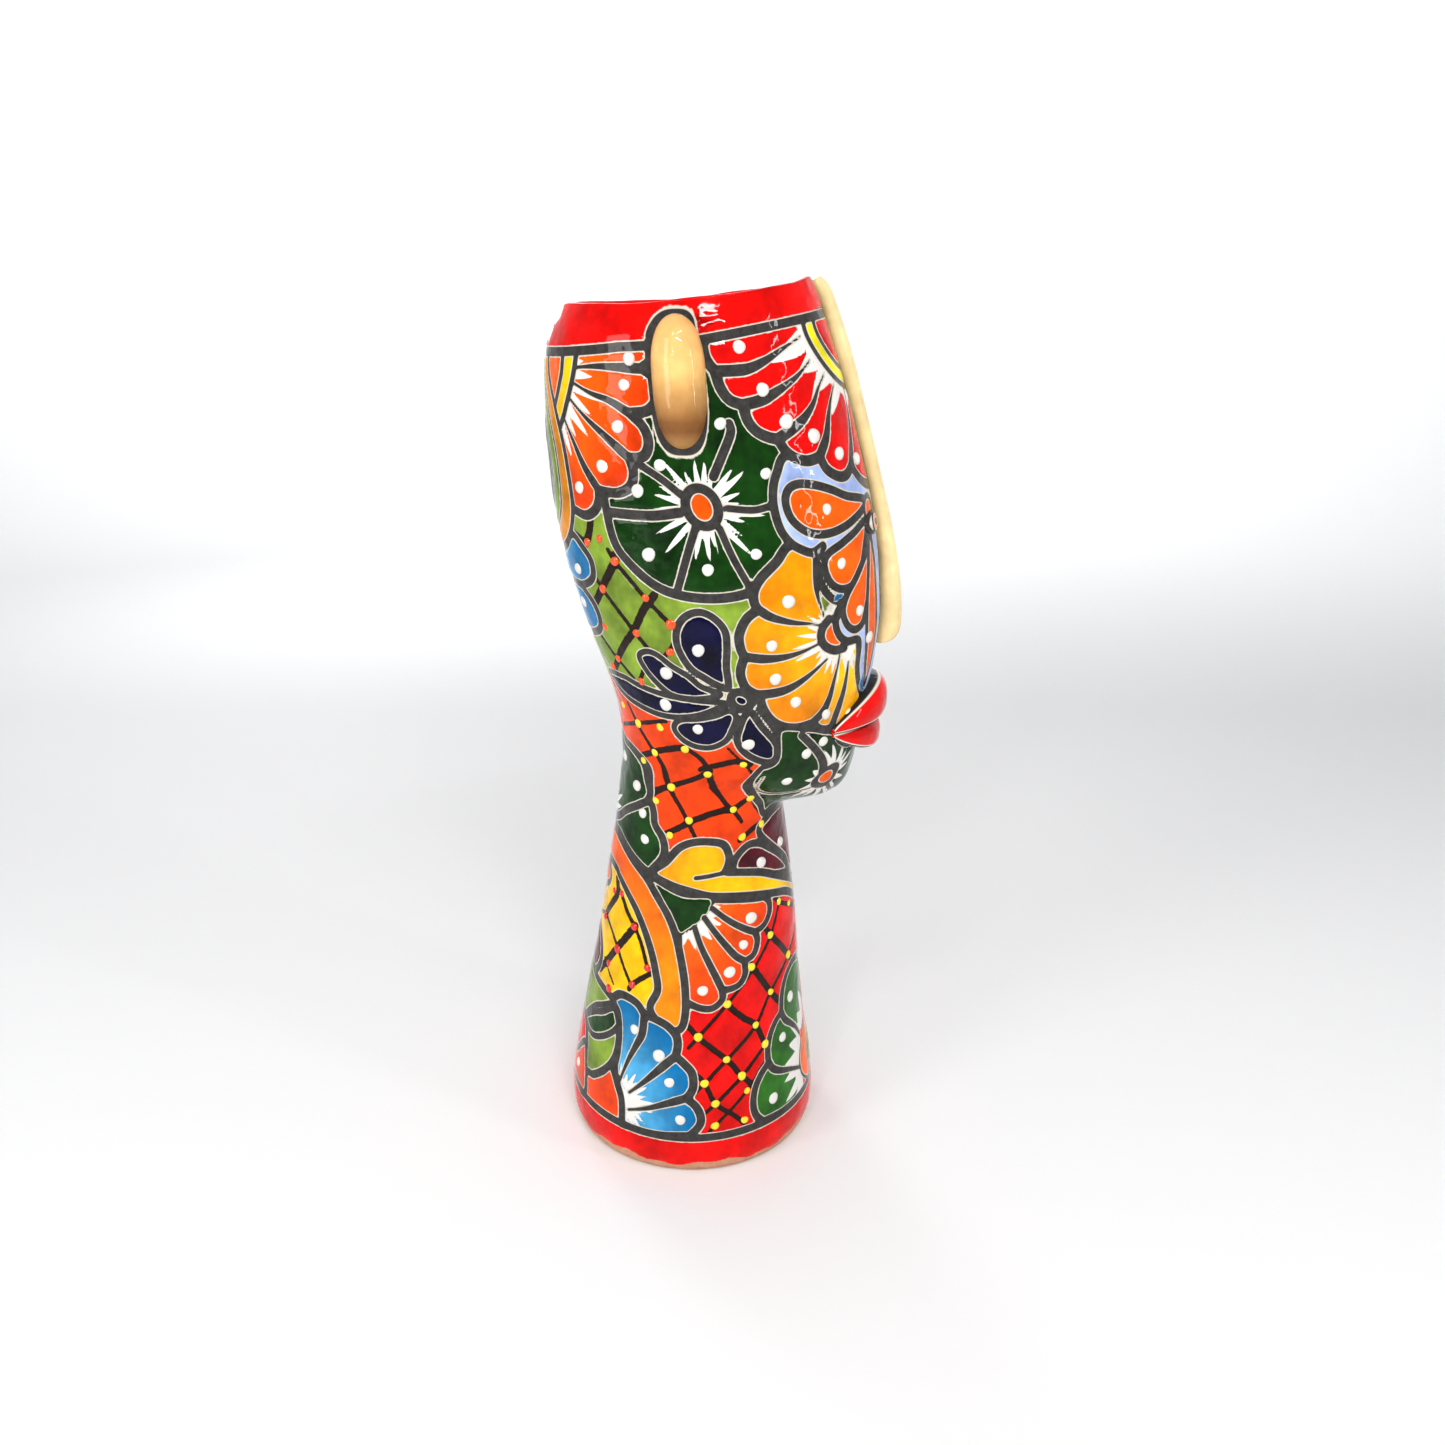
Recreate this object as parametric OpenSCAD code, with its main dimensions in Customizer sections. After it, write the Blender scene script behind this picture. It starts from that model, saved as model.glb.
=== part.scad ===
// Hand-built pottery head vase: a hollow head in profile-true proportions on a tall flared neck,
// open at the crown. Millimetres, +Z up, +X towards the face, origin at the centre of the foot.
// The clay parts are luted together with slip: neck, foot slab, head, rim band, ears, eyes, nose, lips.

/* [Clay] */
// Thickness of the clay walls
wall = 7; // [5:0.5:9]
// Thickness of the foot slab that closes the neck
slab_thick = 9; // [6:0.5:12]
// How far each applied piece is pressed into the clay under it
bite = 2.5; // [1.5:0.5:3.5]

/* [Ears] */
// Height of an ear
ear_height = 57; // [50:1:64]
// Breadth of an ear
ear_breadth = 23; // [18:1:28]
// Height of the ears' middle above the foot
ear_level = 419; // [410:1:425]
// Place of the ears along the head, behind the neck's axis
ear_back = 6; // [0:1:12]
// Backward lean of the ears' tops, in degrees
ear_lean = 4.5; // [0:0.5:8]

/* [Eyes] */
// Height of the eyes' middle above the foot
eye_level = 351; // [345:1:357]
// Angle of each eye round from the middle of the face, in degrees
eye_turn = 18; // [16:0.5:21]
// Breadth of an eye
eye_breadth = 21; // [16:1:24]
// Height of an eye
eye_height = 12; // [9:1:15]
// How far the middle of an eye stands out of the face
eye_relief = 2.2; // [1:0.2:3]

/* [Nose] */
// Half breadth of the nose ridge where it meets the rim
nose_top_half = 6; // [5:0.5:8]
// Half breadth of the nose at its tip
nose_tip_half = 10; // [8:0.5:12]

/* [Lips] */
// Height of the line between the lips
mouth_level = 248; // [246:1:250]
// Breadth of the mouth from corner to corner
mouth_breadth = 82; // [74:1:88]
// Height of the upper lip at the middle
upper_lip_height = 21; // [17:1:22]
// Height of the lower lip at the middle
lower_lip_height = 17; // [14:1:19]
// How far the lips stand out of the face at the middle
lip_relief = 12; // [9:1:13]

/* [Smoothness] */
// Points round each ring of the clay walls
ring_points = 48; // [36:12:60]
// Rings from one station to the next on the outside
ring_steps = 3; // [2:1:3]

/* [Hidden] */

// Stations of the outside from the foot to the crown. Each one is a leaning oval ring:
// [front x, front z, back x, back z, half breadth, dip of the sides, narrowing of the front].
FX = 0;
FZ = 1;
BX = 2;
BZ = 3;
HALF = 4;
DIP = 5;
EGG = 6;
stations = [
    [64.0,   0, -64.4,   0, 63.6,   0, 0],   // 0  edge of the flat foot
    [67.4,   2, -68.0,   2, 67.2,   0, 0],
    [69.4,   7, -70.2,   7, 69.2,   0, 0],
    [70.0,  20, -70.4,  20, 69.4,   0, 0],
    [67.8,  44, -67.4,  44, 66.4,   0, 0],
    [63.4,  68, -62.8,  68, 61.8,   0, 0],
    [60.0,  97, -57.0,  98, 56.4,   0, 0],
    [57.6, 128, -51.0, 130, 51.4,   0, 0],
    [53.8, 160, -45.2, 165, 47.4,  -1, 0],
    [50.8, 184, -41.2, 195, 45.8,  -5, 0.03],
    [49.6, 196, -38.6, 214, 45.8,  -8, 0.08],   // 10 crease under the chin, where neck and head are luted
    [54.0, 199.6, -37.6, 221, 46.8, -10, 0.12],
    [65.5, 201.2, -37.4, 229, 48.8, -11, 0.15],
    [75.6, 204.2, -38.0, 238, 51.2, -10, 0.15],
    [82.0, 211, -39.0, 248, 53.8,  -8, 0.13],
    [85.6, 222, -41.4, 260, 56.4,  -6, 0.10],
    [87.6, 237, -45.2, 273, 58.8,  -3, 0.07],
    [91.0, 260, -51.0, 290, 60.6,  -1, 0.05],
    [95.0, 286, -58.4, 312, 62.2,   0, 0.03],
    [96.0, 314, -65.2, 336, 63.0,   0, 0.02],
    [92.0, 346, -69.6, 364, 63.0,   0, 0.01],
    [83.4, 382, -72.0, 391, 62.0,   0, 0],
    [73.0, 416, -71.8, 413, 60.2,   0, 0],
    [61.4, 450, -70.2, 430, 57.6,   2, 0],   // 23 seam under the rim band
    [58.4, 457, -66.8, 441, 55.6,   3, 0],
    [55.6, 462, -61.8, 451.5, 53.4, 3, 0]    // 25 shoulder of the rim
];
seam_neck = 10;
seam_rim = 23;
rim_shoulder = len(stations) - 1;
slab_seat = 57;      // radius of the bore in the foot that takes the slab
crest_rise = 1.6;    // height of the rounded crest over the rim's shoulder
inner_steps = 1;     // rings from station to station on the inside

// Catmull-Rom curve through four values, at u from 0 to 1 between the middle two.
function through(a, b, c, d, u) =
    0.5 * (2*b + (c - a)*u + (2*a - 5*b + 4*c - d)*u*u + (3*b - a - 3*c + d)*u*u*u);

function clamp(v, low, high) = min(high, max(low, v));

// The station at a place p along the body, which may fall between two stations.
function station(p) = let(
    i = clamp(floor(p), 0, rim_shoulder - 1),
    before = stations[max(i - 1, 0)],
    after = stations[min(i + 2, rim_shoulder)]
) through(before, stations[i], stations[i + 1], after, p - i);

// The same station on the inside: moved in by the wall, square to the front and back outlines.
function inner_station(p) = let(
    s = station(p),
    step = 0.4,
    low = station(max(p - step, 0)),
    high = station(min(p + step, rim_shoulder)),
    front = [high[FX] - low[FX], high[FZ] - low[FZ]],
    back = [high[BX] - low[BX], high[BZ] - low[BZ]],
    front_in = wall * [-front[1], front[0]] / norm(front),
    back_in = wall * [back[1], -back[0]] / norm(back)
) [s[FX] + front_in[0], s[FZ] + front_in[1], s[BX] + back_in[0], s[BZ] + back_in[1],
   s[HALF] - wall, s[DIP], s[EGG]];

// The point of a station's ring at angle a round from the front, and the whole ring of points.
function on_ring(s, a) = [
    (s[FX] + s[BX]) / 2 + (s[FX] - s[BX]) / 2 * cos(a),
    s[HALF] * sin(a) * (1 - s[EGG] * cos(a)),
    (s[FZ] + s[BZ]) / 2 + (s[FZ] - s[BZ]) / 2 * cos(a) - s[DIP] * sin(a) * sin(a)];
function ring(s) = [for (k = [0 : ring_points - 1]) on_ring(s, 360 * k / ring_points)];

function outer_rings(from, to) =
    [for (i = [0 : (to - from) * ring_steps]) ring(station(from + i / ring_steps))];
function inner_rings(from, to) =
    [for (i = [(to - from) * inner_steps : -1 : 0]) ring(inner_station(from + i / inner_steps))];
function round_ring(r, z) = ring([r, z, -r, z, r, 0, 0]);

// A closed wall: rings joined one to the next, and the last to the first.
module hollow(rings) {
    m = len(rings);
    n = len(rings[0]);
    polyhedron(
        points = [for (r = rings) for (p = r) p],
        faces = [for (i = [0 : m - 1], k = [0 : n - 1]) let(
            j = (i + 1) % m,
            l = (k + 1) % n,
            corners = [[i*n + k, j*n + k, j*n + l], [i*n + k, j*n + l, i*n + l]]
        ) for (c = corners) c],
        convexity = 8);
}

// A solid lofted through rings, each end closed by a fan of triangles to its middle.
function middle_of(r) = [for (i = [0 : 2]) [for (p = r) p[i]] * [for (p = r) 1] / len(r)];
module loft(rings) {
    m = len(rings);
    n = len(rings[0]);
    polyhedron(
        points = concat([for (r = rings) for (p = r) p], [middle_of(rings[0]), middle_of(rings[m - 1])]),
        faces = concat(
            [for (k = [0 : n - 1]) [m*n, k, (k + 1) % n]],
            [for (i = [0 : m - 2], k = [0 : n - 1]) let(
                l = (k + 1) % n,
                corners = [[i*n + k, (i + 1)*n + k, (i + 1)*n + l], [i*n + k, (i + 1)*n + l, i*n + l]]
            ) for (c = corners) c],
            [for (k = [0 : n - 1]) [m*n + 1, (m - 1)*n + (k + 1) % n, (m - 1)*n + k]]),
        convexity = 4);
}

// Neck: a tall flared column, open at the foot for the slab and at the top into the head.
module neck() {
    first_offset = 3;   // first station whose inner wall follows the outer one
    color("firebrick")
    hollow(concat(
        outer_rings(0, seam_neck),
        inner_rings(first_offset, seam_neck),
        [round_ring(slab_seat, slab_thick), round_ring(slab_seat, 0)]));
}

// Foot slab: a rolled disc of clay let into the foot, flush with it underneath.
module foot_slab() {
    flat_of_bore = cos(180 / ring_points);   // the bore's sides are flats, so the disc is a hair smaller
    color("sienna")
    cylinder(r = slab_seat * flat_of_bore - 0.02, h = slab_thick, $fn = 96);
}

// Head: the hollow shell from the crease under the chin to the seam of the rim band.
module head() {
    color("forestgreen")
    hollow(concat(outer_rings(seam_neck, seam_rim), inner_rings(seam_neck, seam_rim)));
}

// Rim band: the smooth collar round the crown, with a rounded crest.
module rim_band() {
    out = station(rim_shoulder);
    in = inner_station(rim_shoulder);
    crest = (out + in) / 2 + [0, crest_rise, 0, crest_rise, 0, 0, 0];
    crest_out = (crest + out) / 2 + [0, crest_rise * 0.3, 0, crest_rise * 0.3, 0, 0, 0];
    crest_in = (crest + in) / 2 + [0, crest_rise * 0.3, 0, crest_rise * 0.3, 0, 0, 0];
    color("red")
    hollow(concat(
        outer_rings(seam_rim, rim_shoulder),
        [ring(crest_out), ring(crest), ring(crest_in)],
        inner_rings(seam_rim, rim_shoulder)));
}

// Place along the body where the outside stands at height z, at angle a round from the face.
function place_at(a, z, low = seam_neck + 4, high = rim_shoulder, n = 20) =
    n == 0 ? (low + high) / 2 : let(mid = (low + high) / 2)
    on_ring(station(mid), a)[2] < z ? place_at(a, z, mid, high, n - 1) : place_at(a, z, low, mid, n - 1);
function skin_point(a, z) = on_ring(station(place_at(a, z)), a);

// The outward direction there, and the point pushed out by d.
function outward(a, z) = let(
    round = skin_point(a + 1, z) - skin_point(a - 1, z),
    up = skin_point(a, z + 1) - skin_point(a, z - 1),
    v = cross(round, up)
) v / norm(v);
function on_face(a, z, d) = skin_point(a, z) + d * outward(a, z);

// Nose ridge: runs down the middle of the face from the rim to the tip.
nose_top = 462;
nose_end = 286;
nose_root = 460;    // above this the ridge stands straight up from the face
nose_sides = 14;
// [height, relief] of the crest, from the rim down to the underside of the tip.
nose_line = [[462, 3.5], [458, 6.2], [448, 7], [425, 7.6], [392, 7], [357, 7.8], [325, 10],
             [300, 12], [293, 12], [288.5, 9.5], [286.5, 5]];
module nose_ridge() {
    rings = [for (s = nose_line) let(
        z = s[0],
        drop = (nose_top - z) / (nose_top - nose_end),
        fine = 0.55 + 0.45 * min(1, s[1] / 7),
        half = (nose_top_half + (nose_tip_half - nose_top_half) * pow(drop, 1.6)) * fine,
        level = min(z, nose_root)
    ) [for (k = [0 : nose_sides - 1]) let(a = 360 * k / nose_sides)
        skin_point(0, level) + [0, half * sin(a), z - level]
            + outward(0, level - 1) * (s[1]/2 - bite/2 + (s[1]/2 + bite/2) * cos(a))]];
    color("burlywood")
    loft([for (i = [len(rings) - 1 : -1 : 0]) rings[i]]);
}

// One lip: a pad that follows the level outline of the face, thick in the middle and fine at the corners.
lip_steps = 20;
lip_sides = 14;
function full(v) = sign(v) * pow(abs(v), 0.8);   // rounds a section out fuller than an ellipse's
function mouth_corner() = asin(mouth_breadth / 2 / station(place_at(0, mouth_level))[HALF]);
module lip(height, side) {
    corner = mouth_corner();
    corner_share = 0.12;   // size of a lip at its corner against its middle
    rings = [for (i = [-lip_steps/2 : lip_steps/2]) let(
        u = i / (lip_steps / 2),
        swell = corner_share + (1 - corner_share) * pow(cos(90 * u), 0.8),
        half = height / 2 * swell,
        relief = lip_relief * (corner_share + (1 - corner_share) * cos(88 * u)),
        z = mouth_level + side * half
    ) [for (k = [0 : lip_sides - 1]) let(
        a = 360 * k / lip_sides,
        depth = relief/2 - bite/2 + (relief/2 + bite/2) * full(cos(a))
    ) on_face(corner * u, z, depth) + [0, 0, half * full(sin(a))]]];
    loft([for (i = [len(rings) - 1 : -1 : 0]) rings[i]]);
}
module upper_lip() { color("red") lip(upper_lip_height, 1); }
module lower_lip() { color("crimson") lip(lower_lip_height, -1); }

// Ear: a plain long pad, round across, its back pressed flat inside the wall of the head.
module ear(side) {
    back = 3;         // the flat back lies this far behind the pad's middle
    steps = 14;
    fullness = 2.5;   // above 2 the ends are blunter than an ellipse's
    outline = [for (i = [0 : steps]) let(u = -cos(180 * i / steps))
        [ear_breadth/2 * pow(max(0, 1 - pow(abs(u), fullness)), 1/2), ear_height/2 * u]];
    head_half = skin_point(-92, ear_level)[1];
    color("tan")
    translate([-ear_back, side * (abs(head_half) - bite + 0.5), ear_level])
        rotate([0, -ear_lean, 0])
            intersection() {
                rotate_extrude($fn = 48) polygon(outline);
                translate([-ear_breadth, side > 0 ? -back : back - ear_breadth, -ear_height])
                    cube([2 * ear_breadth, ear_breadth, 2 * ear_height]);
            }
}
module ear_right() ear(-1);
module ear_left() ear(1);

// Eye: a low almond pad pressed on the face beside the nose ridge.
module eye(side) {
    rim_points = 20;
    // [share of the outline, share of the relief]; the first ring lies in the clay of the face
    domes = [[1, -bite], [1, 0.2], [0.8, 0.7], [0.5, 0.93], [0.15, 1]];
    function almond(k) = let(a = 360 * k / rim_points)
        [eye_breadth/2 * cos(a), eye_height/2 * sin(a) * pow(abs(sin(a)), 0.35)];
    degrees_per_mm = 2 / norm(skin_point(eye_turn + 1, eye_level) - skin_point(eye_turn - 1, eye_level));
    rings = [for (d = domes) [for (k = [0 : rim_points - 1]) let(
        e = almond(k) * d[0],
        depth = d[1] < 0 ? d[1] : d[1] * eye_relief
    ) on_face(side * (eye_turn + e[0] * degrees_per_mm), eye_level + e[1], depth)]];
    color("orange")
    if (side > 0) loft([for (r = rings) [for (k = [rim_points - 1 : -1 : 0]) r[k]]]);
    else loft(rings);
}
module eye_right() eye(-1);
module eye_left() eye(1);

neck();
foot_slab();
head();
rim_band();
nose_ridge();
upper_lip();
lower_lip();
ear_right();
ear_left();
eye_right();
eye_left();
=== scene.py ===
import math

import bpy
import numpy as np
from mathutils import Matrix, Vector


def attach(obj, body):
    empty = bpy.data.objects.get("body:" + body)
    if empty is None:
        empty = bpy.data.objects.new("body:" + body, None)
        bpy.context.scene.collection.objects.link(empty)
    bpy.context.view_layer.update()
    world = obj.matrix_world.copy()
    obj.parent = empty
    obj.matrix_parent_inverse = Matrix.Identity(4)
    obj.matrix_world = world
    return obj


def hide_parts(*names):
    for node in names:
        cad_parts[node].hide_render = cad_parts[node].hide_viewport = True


# A tall hand-built pottery head vase, painted all over in glossy glazes with raised enamel dots.
# Shapes are worked out in millimetres in the frame of the solid model, and stored in metres.
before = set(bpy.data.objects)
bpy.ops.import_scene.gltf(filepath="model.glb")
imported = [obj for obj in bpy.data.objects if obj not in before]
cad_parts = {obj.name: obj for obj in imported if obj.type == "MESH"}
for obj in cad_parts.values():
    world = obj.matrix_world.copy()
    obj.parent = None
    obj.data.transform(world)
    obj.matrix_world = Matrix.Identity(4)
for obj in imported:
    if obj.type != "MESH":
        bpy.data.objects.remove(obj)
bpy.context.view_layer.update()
scene = bpy.context.scene


# ---------------------------------------------------------------------------------------------
# Camera: level with the rim and about an arm's length away, looking down at the right side.
# ---------------------------------------------------------------------------------------------
lens = bpy.data.cameras.new("camera")
lens.sensor_width = 36.0
lens.lens = 29.4
lens.shift_x = 0.0204
lens.clip_start = 0.02
camera = bpy.data.objects.new("camera", lens)
camera.location = (0.0, -0.594, 0.457)
camera.rotation_euler = (math.radians(69.9), 0.0, 0.0)
scene.collection.objects.link(camera)
scene.camera = camera


# ---------------------------------------------------------------------------------------------
# Studio: a pale plain floor, a pale surround and eight plain rectangular lamps. The small
# ones are what the glaze mirrors as glints, and the others light the sides and the wall.
# ---------------------------------------------------------------------------------------------
scene.view_settings.view_transform = "Standard"
scene.view_settings.look = "Medium High Contrast"

world = bpy.data.worlds.new("pale surround")
world.use_nodes = True
surround = world.node_tree.nodes["Background"]
surround.inputs["Color"].default_value = (0.97, 0.98, 1.0, 1.0)
surround.inputs["Strength"].default_value = 0.40
scene.world = world


def lamp(name, place, target, size, power):
    """A rectangular area lamp at a place, turned to face a target."""
    data = bpy.data.lights.new(name, "AREA")
    data.shape = "RECTANGLE"
    data.size, data.size_y = size
    data.energy = power
    thing = bpy.data.objects.new(name, data)
    thing.location = place
    thing.rotation_euler = (Vector(target) - Vector(place)).to_track_quat("-Z", "Y").to_euler()
    scene.collection.objects.link(thing)


lamp("window", (-0.95, -0.75, 0.50), (0.0, 0.0, 0.24), (0.36, 0.75), 3.6)
lamp("key lamp", (-0.35, -0.95, 1.35), (0.0, 0.0, 0.24), (0.25, 0.25), 1.6)
lamp("front lamp", (0.95, -0.50, 0.55), (0.0, 0.0, 0.24), (0.04, 0.60), 1.3)
lamp("ceiling lamp", (0.35, -0.80, 1.30), (0.0, 0.0, 0.40), (0.50, 0.05), 2.0)
lamp("back lamp", (-0.60, 1.20, 0.90), (0.0, 0.0, 0.28), (0.40, 0.80), 3.0)
lamp("strip lamp", (0.15, -0.84, 0.90), (0.0, 0.0, 0.40), (0.38, 0.07), 3.0)
lamp("low spark", (-0.30, -0.90, 0.62), (0.0, 0.0, 0.30), (0.04, 0.14), 0.6)
lamp("wall wash", (0.0, 1.30, 1.90), (0.0, 3.2, 1.30), (2.40, 0.60), 38.0)


def full_turn(count):
    """Angles spaced evenly once round, from nought."""
    return np.linspace(0, 2 * np.pi, count + 1)[:-1]


def new_finish(name):
    """A new material with its node tree and its shader."""
    material = bpy.data.materials.new(name)
    material.use_nodes = True
    return material, material.node_tree, material.node_tree.nodes["Principled BSDF"]


# The floor is one pale sheet that curves up into a round wall, so that no edge shows behind.
floor_flat, floor_bend, wall_top, floor_sides = 1.8, 1.6, 2.0, 96
turns = full_turn(floor_sides)
bend = np.linspace(0.0, np.pi / 2, 15)
curl = np.stack([floor_flat + floor_bend * np.sin(bend), floor_bend * (1 - np.cos(bend))], -1)
profile = np.vstack([[[r, 0.0] for r in np.linspace(0.02, floor_flat, 6)], curl[1:],
                     [[floor_flat + floor_bend, wall_top]]])
sheet = np.stack([profile[:, :1] * np.cos(turns), profile[:, :1] * np.sin(turns),
                  np.repeat(profile[:, 1:], len(turns), 1)], -1)
low = np.arange(len(profile) - 1)[:, None] * floor_sides
here, beside = np.arange(floor_sides), (np.arange(floor_sides) + 1) % floor_sides
sheet_faces = np.stack([low + here, low + floor_sides + here,
                        low + floor_sides + beside, low + beside], -1).reshape(-1, 4).tolist()
sheet_faces.append(list(range(floor_sides)))
floor_mesh = bpy.data.meshes.new("floor")
floor_mesh.from_pydata(sheet.reshape(-1, 3).tolist(), [], sheet_faces)
floor_mesh.polygons.foreach_set("use_smooth", np.ones(len(sheet_faces), bool))
floor = bpy.data.objects.new("floor", floor_mesh)
scene.collection.objects.link(floor)
floor_paint, _, floor_shader = new_finish("pale floor")
floor_shader.inputs["Base Color"].default_value = (0.92, 0.92, 0.92, 1.0)
floor_shader.inputs["Roughness"].default_value = 0.9
floor_mesh.materials.append(floor_paint)


# ---------------------------------------------------------------------------------------------
# Clay body: a foot, a flared neck and a head, pinched and coiled from slabs about 7 mm thick
# and luted together. These are the forms that the neck, the head and the rim all follow.
# ---------------------------------------------------------------------------------------------
WALL = 7.0          # thickness of the clay, mm
# front x, front z, back x, back z, half breadth, dip of the sides, narrowing of the front, mm
STATIONS = np.array([
    [64.0, 0, -64.4, 0, 63.6, 0, 0],
    [67.4, 2, -68.0, 2, 67.2, 0, 0],
    [69.4, 7, -70.2, 7, 69.2, 0, 0],
    [70.0, 20, -70.4, 20, 69.4, 0, 0],
    [67.8, 44, -67.4, 44, 66.4, 0, 0],
    [63.4, 68, -62.8, 68, 61.8, 0, 0],
    [60.0, 97, -57.0, 98, 56.4, 0, 0],
    [57.6, 128, -51.0, 130, 51.4, 0, 0],
    [53.8, 160, -45.2, 165, 47.4, -1, 0],
    [50.8, 184, -41.2, 195, 45.8, -5, 0.03],
    [49.6, 196, -38.6, 214, 45.8, -8, 0.08],
    [54.0, 199.6, -37.6, 221, 46.8, -10, 0.12],
    [65.5, 201.2, -37.4, 229, 48.8, -11, 0.15],
    [75.6, 204.2, -38.0, 238, 51.2, -10, 0.15],
    [82.0, 211, -39.0, 248, 53.8, -8, 0.13],
    [85.6, 222, -41.4, 260, 56.4, -6, 0.10],
    [87.6, 237, -45.2, 273, 58.8, -3, 0.07],
    [91.0, 260, -51.0, 290, 60.6, -1, 0.05],
    [95.0, 286, -58.4, 312, 62.2, 0, 0.03],
    [96.0, 314, -65.2, 336, 63.0, 0, 0.02],
    [92.0, 346, -69.6, 364, 63.0, 0, 0.01],
    [83.4, 382, -72.0, 391, 62.0, 0, 0],
    [73.0, 416, -71.8, 413, 60.2, 0, 0],
    [61.4, 450, -70.2, 430, 57.6, 2, 0],
    [58.4, 457, -66.8, 441, 55.6, 3, 0],
    [55.6, 462, -61.8, 451.5, 53.4, 3, 0]])
SEAM_NECK, SEAM_RIM, SHOULDER = 10, 23, 25


def station(place):
    """Catmull-Rom curve through the stations, at places that may fall between two of them."""
    place = np.asarray(place, float)
    last = len(STATIONS) - 1
    i = np.clip(np.floor(place).astype(int), 0, last - 1)
    t = (place - i)[..., None]
    a, b = STATIONS[np.maximum(i - 1, 0)], STATIONS[i]
    c, d = STATIONS[i + 1], STATIONS[np.minimum(i + 2, last)]
    return 0.5 * (2*b + (c - a)*t + (2*a - 5*b + 4*c - d)*t*t + (3*b - a - 3*c + d)*t*t*t)


def inner_station(place):
    """The same station moved in by the wall, square to the front and back outlines."""
    s = station(place)
    low, high = station(np.maximum(place - 0.4, 0)), station(np.minimum(place + 0.4, SHOULDER))
    front, back = high[..., 0:2] - low[..., 0:2], high[..., 2:4] - low[..., 2:4]
    front = front / np.linalg.norm(front, axis=-1, keepdims=True)
    back = back / np.linalg.norm(back, axis=-1, keepdims=True)
    s = s.copy()
    s[..., 0] -= WALL * front[..., 1]
    s[..., 1] += WALL * front[..., 0]
    s[..., 2] += WALL * back[..., 1]
    s[..., 3] -= WALL * back[..., 0]
    s[..., 4] -= WALL
    return s


def on_ring(s, turn):
    """Point of a leaning oval at an angle round from the face, positive towards the right ear."""
    cos, sin = np.cos(turn), np.sin(turn)
    return np.stack([
        (s[..., 0] + s[..., 2]) / 2 + (s[..., 0] - s[..., 2]) / 2 * cos,
        -s[..., 4] * sin * (1 - s[..., 6] * cos),
        (s[..., 1] + s[..., 3]) / 2 + (s[..., 1] - s[..., 3]) / 2 * cos - s[..., 5] * sin * sin], -1)


# The skin is mapped as a decorator sees it: girth runs round the vase from the middle of its side,
# positive towards the face, and height is above the table. Both are in millimetres.
SECTION_STEP = 2.0   # height between two sections of the skin, mm
SIDE_ON = 90         # the section point at the middle of the side; there is one to a degree
HEIGHTS = np.arange(1.0, 463.0, SECTION_STEP)
TURNS = np.radians(np.arange(0.0, 181.0))
skin_places = np.linspace(0.0, SHOULDER, 1200)
skin_lines = [on_ring(station(skin_places), np.full_like(skin_places, t)) for t in TURNS]
SECTION = np.stack([np.stack([np.interp(HEIGHTS, c[:, 2], c[:, k]) for k in (0, 1)], -1)
                    for c in skin_lines], 1)
skin_steps = np.linalg.norm(np.diff(SECTION, axis=1), axis=-1)
skin_way = np.concatenate([np.zeros((len(HEIGHTS), 1)), np.cumsum(skin_steps, 1)], 1)
GIRTH = skin_way[:, SIDE_ON:SIDE_ON + 1] - skin_way


def girth_at(turn, height):
    """Girth at an angle and a height, read from the sections by straight-line interpolation."""
    j = np.clip((height - HEIGHTS[0]) / SECTION_STEP, 0, len(HEIGHTS) - 1.001)
    k = np.clip(np.degrees(np.abs(turn)), 0, 179.999)
    j0, k0 = j.astype(int), k.astype(int)
    up, ahead = j - j0, k - k0
    low = GIRTH[j0, k0] * (1 - ahead) + GIRTH[j0, k0 + 1] * ahead
    high = GIRTH[j0 + 1, k0] * (1 - ahead) + GIRTH[j0 + 1, k0 + 1] * ahead
    return low * (1 - up) + high * up


def skin_at(girth, height, side):
    """Point and outward direction of the skin at a girth and height, on the right (-1) or left side."""
    def point(g, h):
        j = np.clip((h - HEIGHTS[0]) / SECTION_STEP, 0, len(HEIGHTS) - 1.001)
        j0 = int(j)
        row = [np.array([np.interp(-g, -GIRTH[i], SECTION[i, :, k]) for k in (0, 1)])
               for i in (j0, j0 + 1)]
        x, y = row[0] * (1 - (j - j0)) + row[1] * (j - j0)
        return np.array([x, y, h])
    here = point(girth, height)
    out = np.cross(point(girth + 1, height) - point(girth - 1, height),
                   point(girth, height + 2) - point(girth, height - 2))
    out = out / np.linalg.norm(out)
    flip = np.array([1.0, -side, 1.0])
    return here * flip, out * flip


# ---------------------------------------------------------------------------------------------
# Painted decoration: flowers, leaves and lattices brushed over a white ground, each cell
# outlined in dark glaze with a thread of bare white ground left beside the line.
# ---------------------------------------------------------------------------------------------
def glaze(code):
    """Linear colour of a glaze from its six-figure shade."""
    c = np.array([int(code[i:i + 2], 16) for i in (0, 2, 4)]) / 255.0
    return np.where(c <= 0.04045, c / 12.92, ((c + 0.055) / 1.055) ** 2.4)


RED, VERMILION, ORANGE = glaze("e00904"), glaze("e64606"), glaze("f7640a")
AMBER, HONEY, YELLOW, LEMON = glaze("f28c04"), glaze("fca806"), glaze("fac400"), glaze("f0e00a")
GREEN, LEAF, OLIVE = glaze("123c0c"), glaze("2c6a1c"), glaze("7f9836")
NAVY, BLUE, SKY, LILAC = glaze("0a0930"), glaze("0876ac"), glaze("5cb0dc"), glaze("a9bcec")
MAROON, GROUND, GOLD = glaze("641526"), glaze("f4efe6"), glaze("d98a08")
FAR = 9.0            # a distance in mm that means well away from any line
REACH = 8.0          # how far past its own box a line is still looked for, mm


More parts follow.
